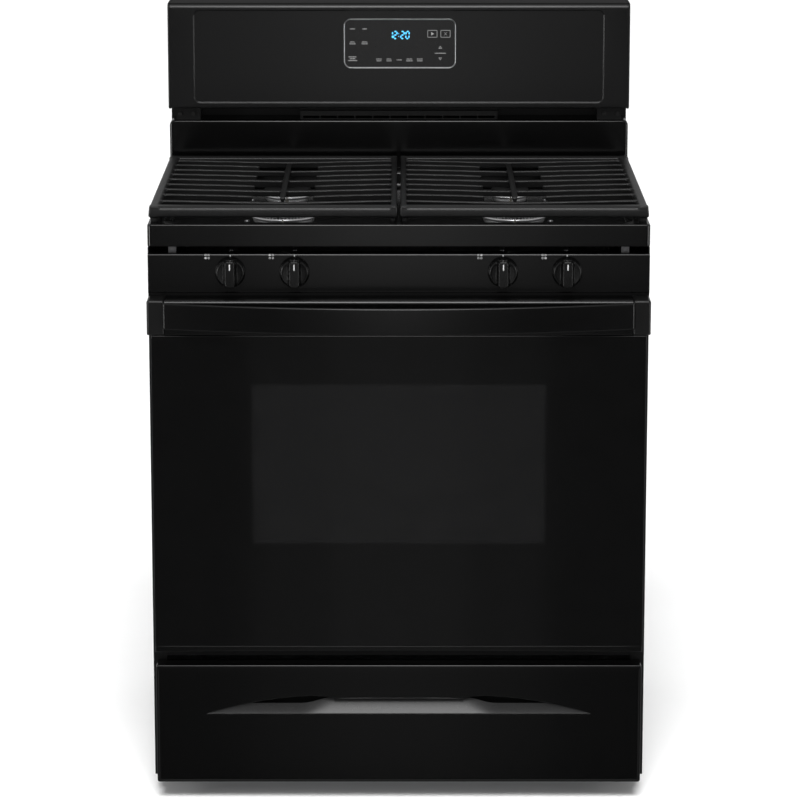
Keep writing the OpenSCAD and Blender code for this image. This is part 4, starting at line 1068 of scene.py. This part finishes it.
# ------------------------------ CAD pieces that stay
KEEP = {
    "side_panel_left": "cabinet", "side_panel_right": "cabinet", "rear_panel": "galv", "base_frame": "galv",
    "leveling_legs": "plastic", "burner_box": "galv", "front_frame": "cabinet", "oven_cavity": "oven",
    "oven_bottom_panel": "oven", "insulation": "wool", "rack_upper": "chrome", "rack_lower": "chrome",
    "oven_burner": "steel", "oven_igniter": "ceramic", "oven_light": "lamp", "temperature_probe": "steel",
    "gas_manifold": "steel", "valve_bodies": "brass", "gas_tubes": "tube", "gas_regulator": "steel",
    "valve_stem_left_outer": "brass", "valve_stem_left_inner": "brass", "valve_stem_right_inner": "brass",
    "valve_stem_right_outer": "brass", "spark_electrodes": "ceramic", "screws": "screws",
    # the console's rear cover is given the black cabinet paint in place of galvanised sheet, a painted shade
    # where it shows through the gap under the console
    "grate_feet_left": "rubber", "grate_feet_right": "rubber", "console_rear_cover": "cabinet",
    "control_board": "board", "oven_vent": "plastic", "door_inner_glass": "glass_inner",
    "door_frame": "cabinet", "door_liner": "oven",
    "door_gasket": "gasket", "door_hinges": "steel", "drawer_pan": "galv", "drawer_rails": "galv",
}
# widths of the small bevels on their edges
BEVEL = {"side_panel_left": 0.7, "side_panel_right": 0.7, "oven_vent": 0.8, "screws": 0.25, "door_liner": 0.8,
         "front_frame": 0.4, "gas_regulator": 0.8, "leveling_legs": 0.4, "drawer_pan": 0.4}
for name, mat in KEEP.items():
    ob = frame["nodes"][name]
    if not ob.material_slots:
        ob.data.materials.append(M[mat])
    for s in ob.material_slots:
        s.material = M[mat]
    if name in BEVEL:
        bv = ob.modifiers.new("edge", "BEVEL")
        bv.width = BEVEL[name] * MM
        bv.segments = 2
        bv.limit_method = "ANGLE"
        bv.angle_limit = math.radians(40)
        bv.harden_normals = True

# ------------------------------ floor, light
floor_mat = material("floor_pale", (0.90, 0.90, 0.90), (0.92, 0.92, 0.92), 3, 0.7, 0.8, spec=0.2)
me = bpy.data.meshes.new("floor")
S = 60
me.from_pydata([(-S, -S, 0), (S, -S, 0), (S, S, 0), (-S, S, 0)], [], [[0, 1, 2, 3]])
me.materials.append(floor_mat)
floor = bpy.data.objects.new("floor", me)
bpy.context.scene.collection.objects.link(floor)

# pale backdrop that only the camera sees; reflections and light come from the sky below
dome_mat, nt, b = new_mat("backdrop")
for n in list(nt.nodes):
    if n.type == "BSDF_PRINCIPLED":
        nt.nodes.remove(n)
em = nt.nodes.new("ShaderNodeEmission")
em.inputs["Strength"].default_value = 1.0
nt.links.new(em.outputs[0], nt.nodes["Material Output"].inputs["Surface"])
dome_mat.cycles.emission_sampling = "NONE"
me = bpy.data.meshes.new("backdrop")
bm = bmesh.new()
bmesh.ops.create_icosphere(bm, subdivisions=4, radius=45)
bm.to_mesh(me)
bm.free()
me.materials.append(dome_mat)
dome = bpy.data.objects.new("backdrop", me)
bpy.context.scene.collection.objects.link(dome)
for o in (floor, dome):
    o.visible_glossy = False
for flag in ("visible_diffuse", "visible_transmission", "visible_volume_scatter", "visible_shadow"):
    setattr(dome, flag, False)

world = bpy.data.worlds.new("world")
bpy.context.scene.world = world
world.use_nodes = True
wt = world.node_tree
bg = wt.nodes["Background"]
wc = wt.nodes.new("ShaderNodeTexCoord")
sep = wt.nodes.new("ShaderNodeSeparateXYZ")
wt.links.new(wc.outputs["Generated"], sep.inputs[0])


def span(src, a, b, lo, hi):
    """a smooth step of the sky's strength from lo at a to hi at b"""
    return map_range(wt, src, a, b, lo, hi, "SMOOTHSTEP")


# dark straight in front, where the enamel mirrors it, and brighter to the sides and above
mix = wt.nodes.new("ShaderNodeMix")
mix.data_type = "FLOAT"
wt.links.new(span(sep.outputs["Z"], -0.05, 0.55, 0.0, 1.0), mix.inputs["Factor"])
wt.links.new(span(sep.outputs["Y"], -0.97, -0.2, 0.03, 0.34), mix.inputs["A"])
wt.links.new(span(sep.outputs["Y"], -0.90, -0.3, 0.27, 0.36), mix.inputs["B"])
wt.links.new(mix.outputs["Result"], bg.inputs["Strength"])
bg.inputs["Color"].default_value = (1, 1, 1, 1)


def area(name, loc, target, size, size_y, radiance):
    """a soft box seen by the surfaces and not by the camera"""
    d = bpy.data.lights.new(name, "AREA")
    d.shape = "RECTANGLE"
    d.size, d.size_y = size, size_y
    d.energy = radiance * math.pi * size * size_y
    o = bpy.data.objects.new(name, d)
    bpy.context.scene.collection.objects.link(o)
    o.location = loc
    o.rotation_euler = (Vector(target) - Vector(loc)).to_track_quat("-Z", "Y").to_euler()
    o.visible_camera = False
    return o


def sun(name, energy, angle, tilt, turn=0.0):
    d = bpy.data.lights.new(name, "SUN")
    d.energy = energy
    d.angle = math.radians(angle)
    o = bpy.data.objects.new(name, d)
    bpy.context.scene.collection.objects.link(o)
    o.rotation_euler = (math.radians(tilt), 0, math.radians(turn))
    return o


sun("key", 0.45, 30, 40)
floor_only = bpy.data.collections.new("floor_only")
floor_only.objects.link(floor)
sun("floor_light", 3.4, 30, 38).light_linking.receiver_collection = floor_only
# strips one behind another make each front light fade sideways: width, upper and lower radiance
STRIPS = ((0.26, 0.14, 0.04), (0.56, 0.15, 0.055), (1.0, 0.13, 0.03), (1.6, 0.025, 0.005))
for i, (w, up, low) in enumerate(STRIPS):
    y = -1.6 - 0.03 * i
    area("strip_upper_%d" % i, (0, y, 0.88), (0, 0, 0.88), w, 0.68, up)
    area("strip_lower_%d" % i, (0, y, 0.05), (0, 0, 0.05), w, 0.95, low)
area("overhead", (0, -2.3, 3.0), (0, -0.3, 0.4), 0.9, 1.7, 4.2)
area("overhead_wide", (0, -2.35, 3.1), (0, -0.3, 0.4), 2.4, 2.2, 0.45)
area("side_left", (-3.0, -2.1, 0.9), (0, -0.3, 0.7), 0.7, 1.6, 9.0)
area("side_right", (3.0, -2.1, 0.9), (0, -0.3, 0.7), 0.7, 1.6, 6.0)
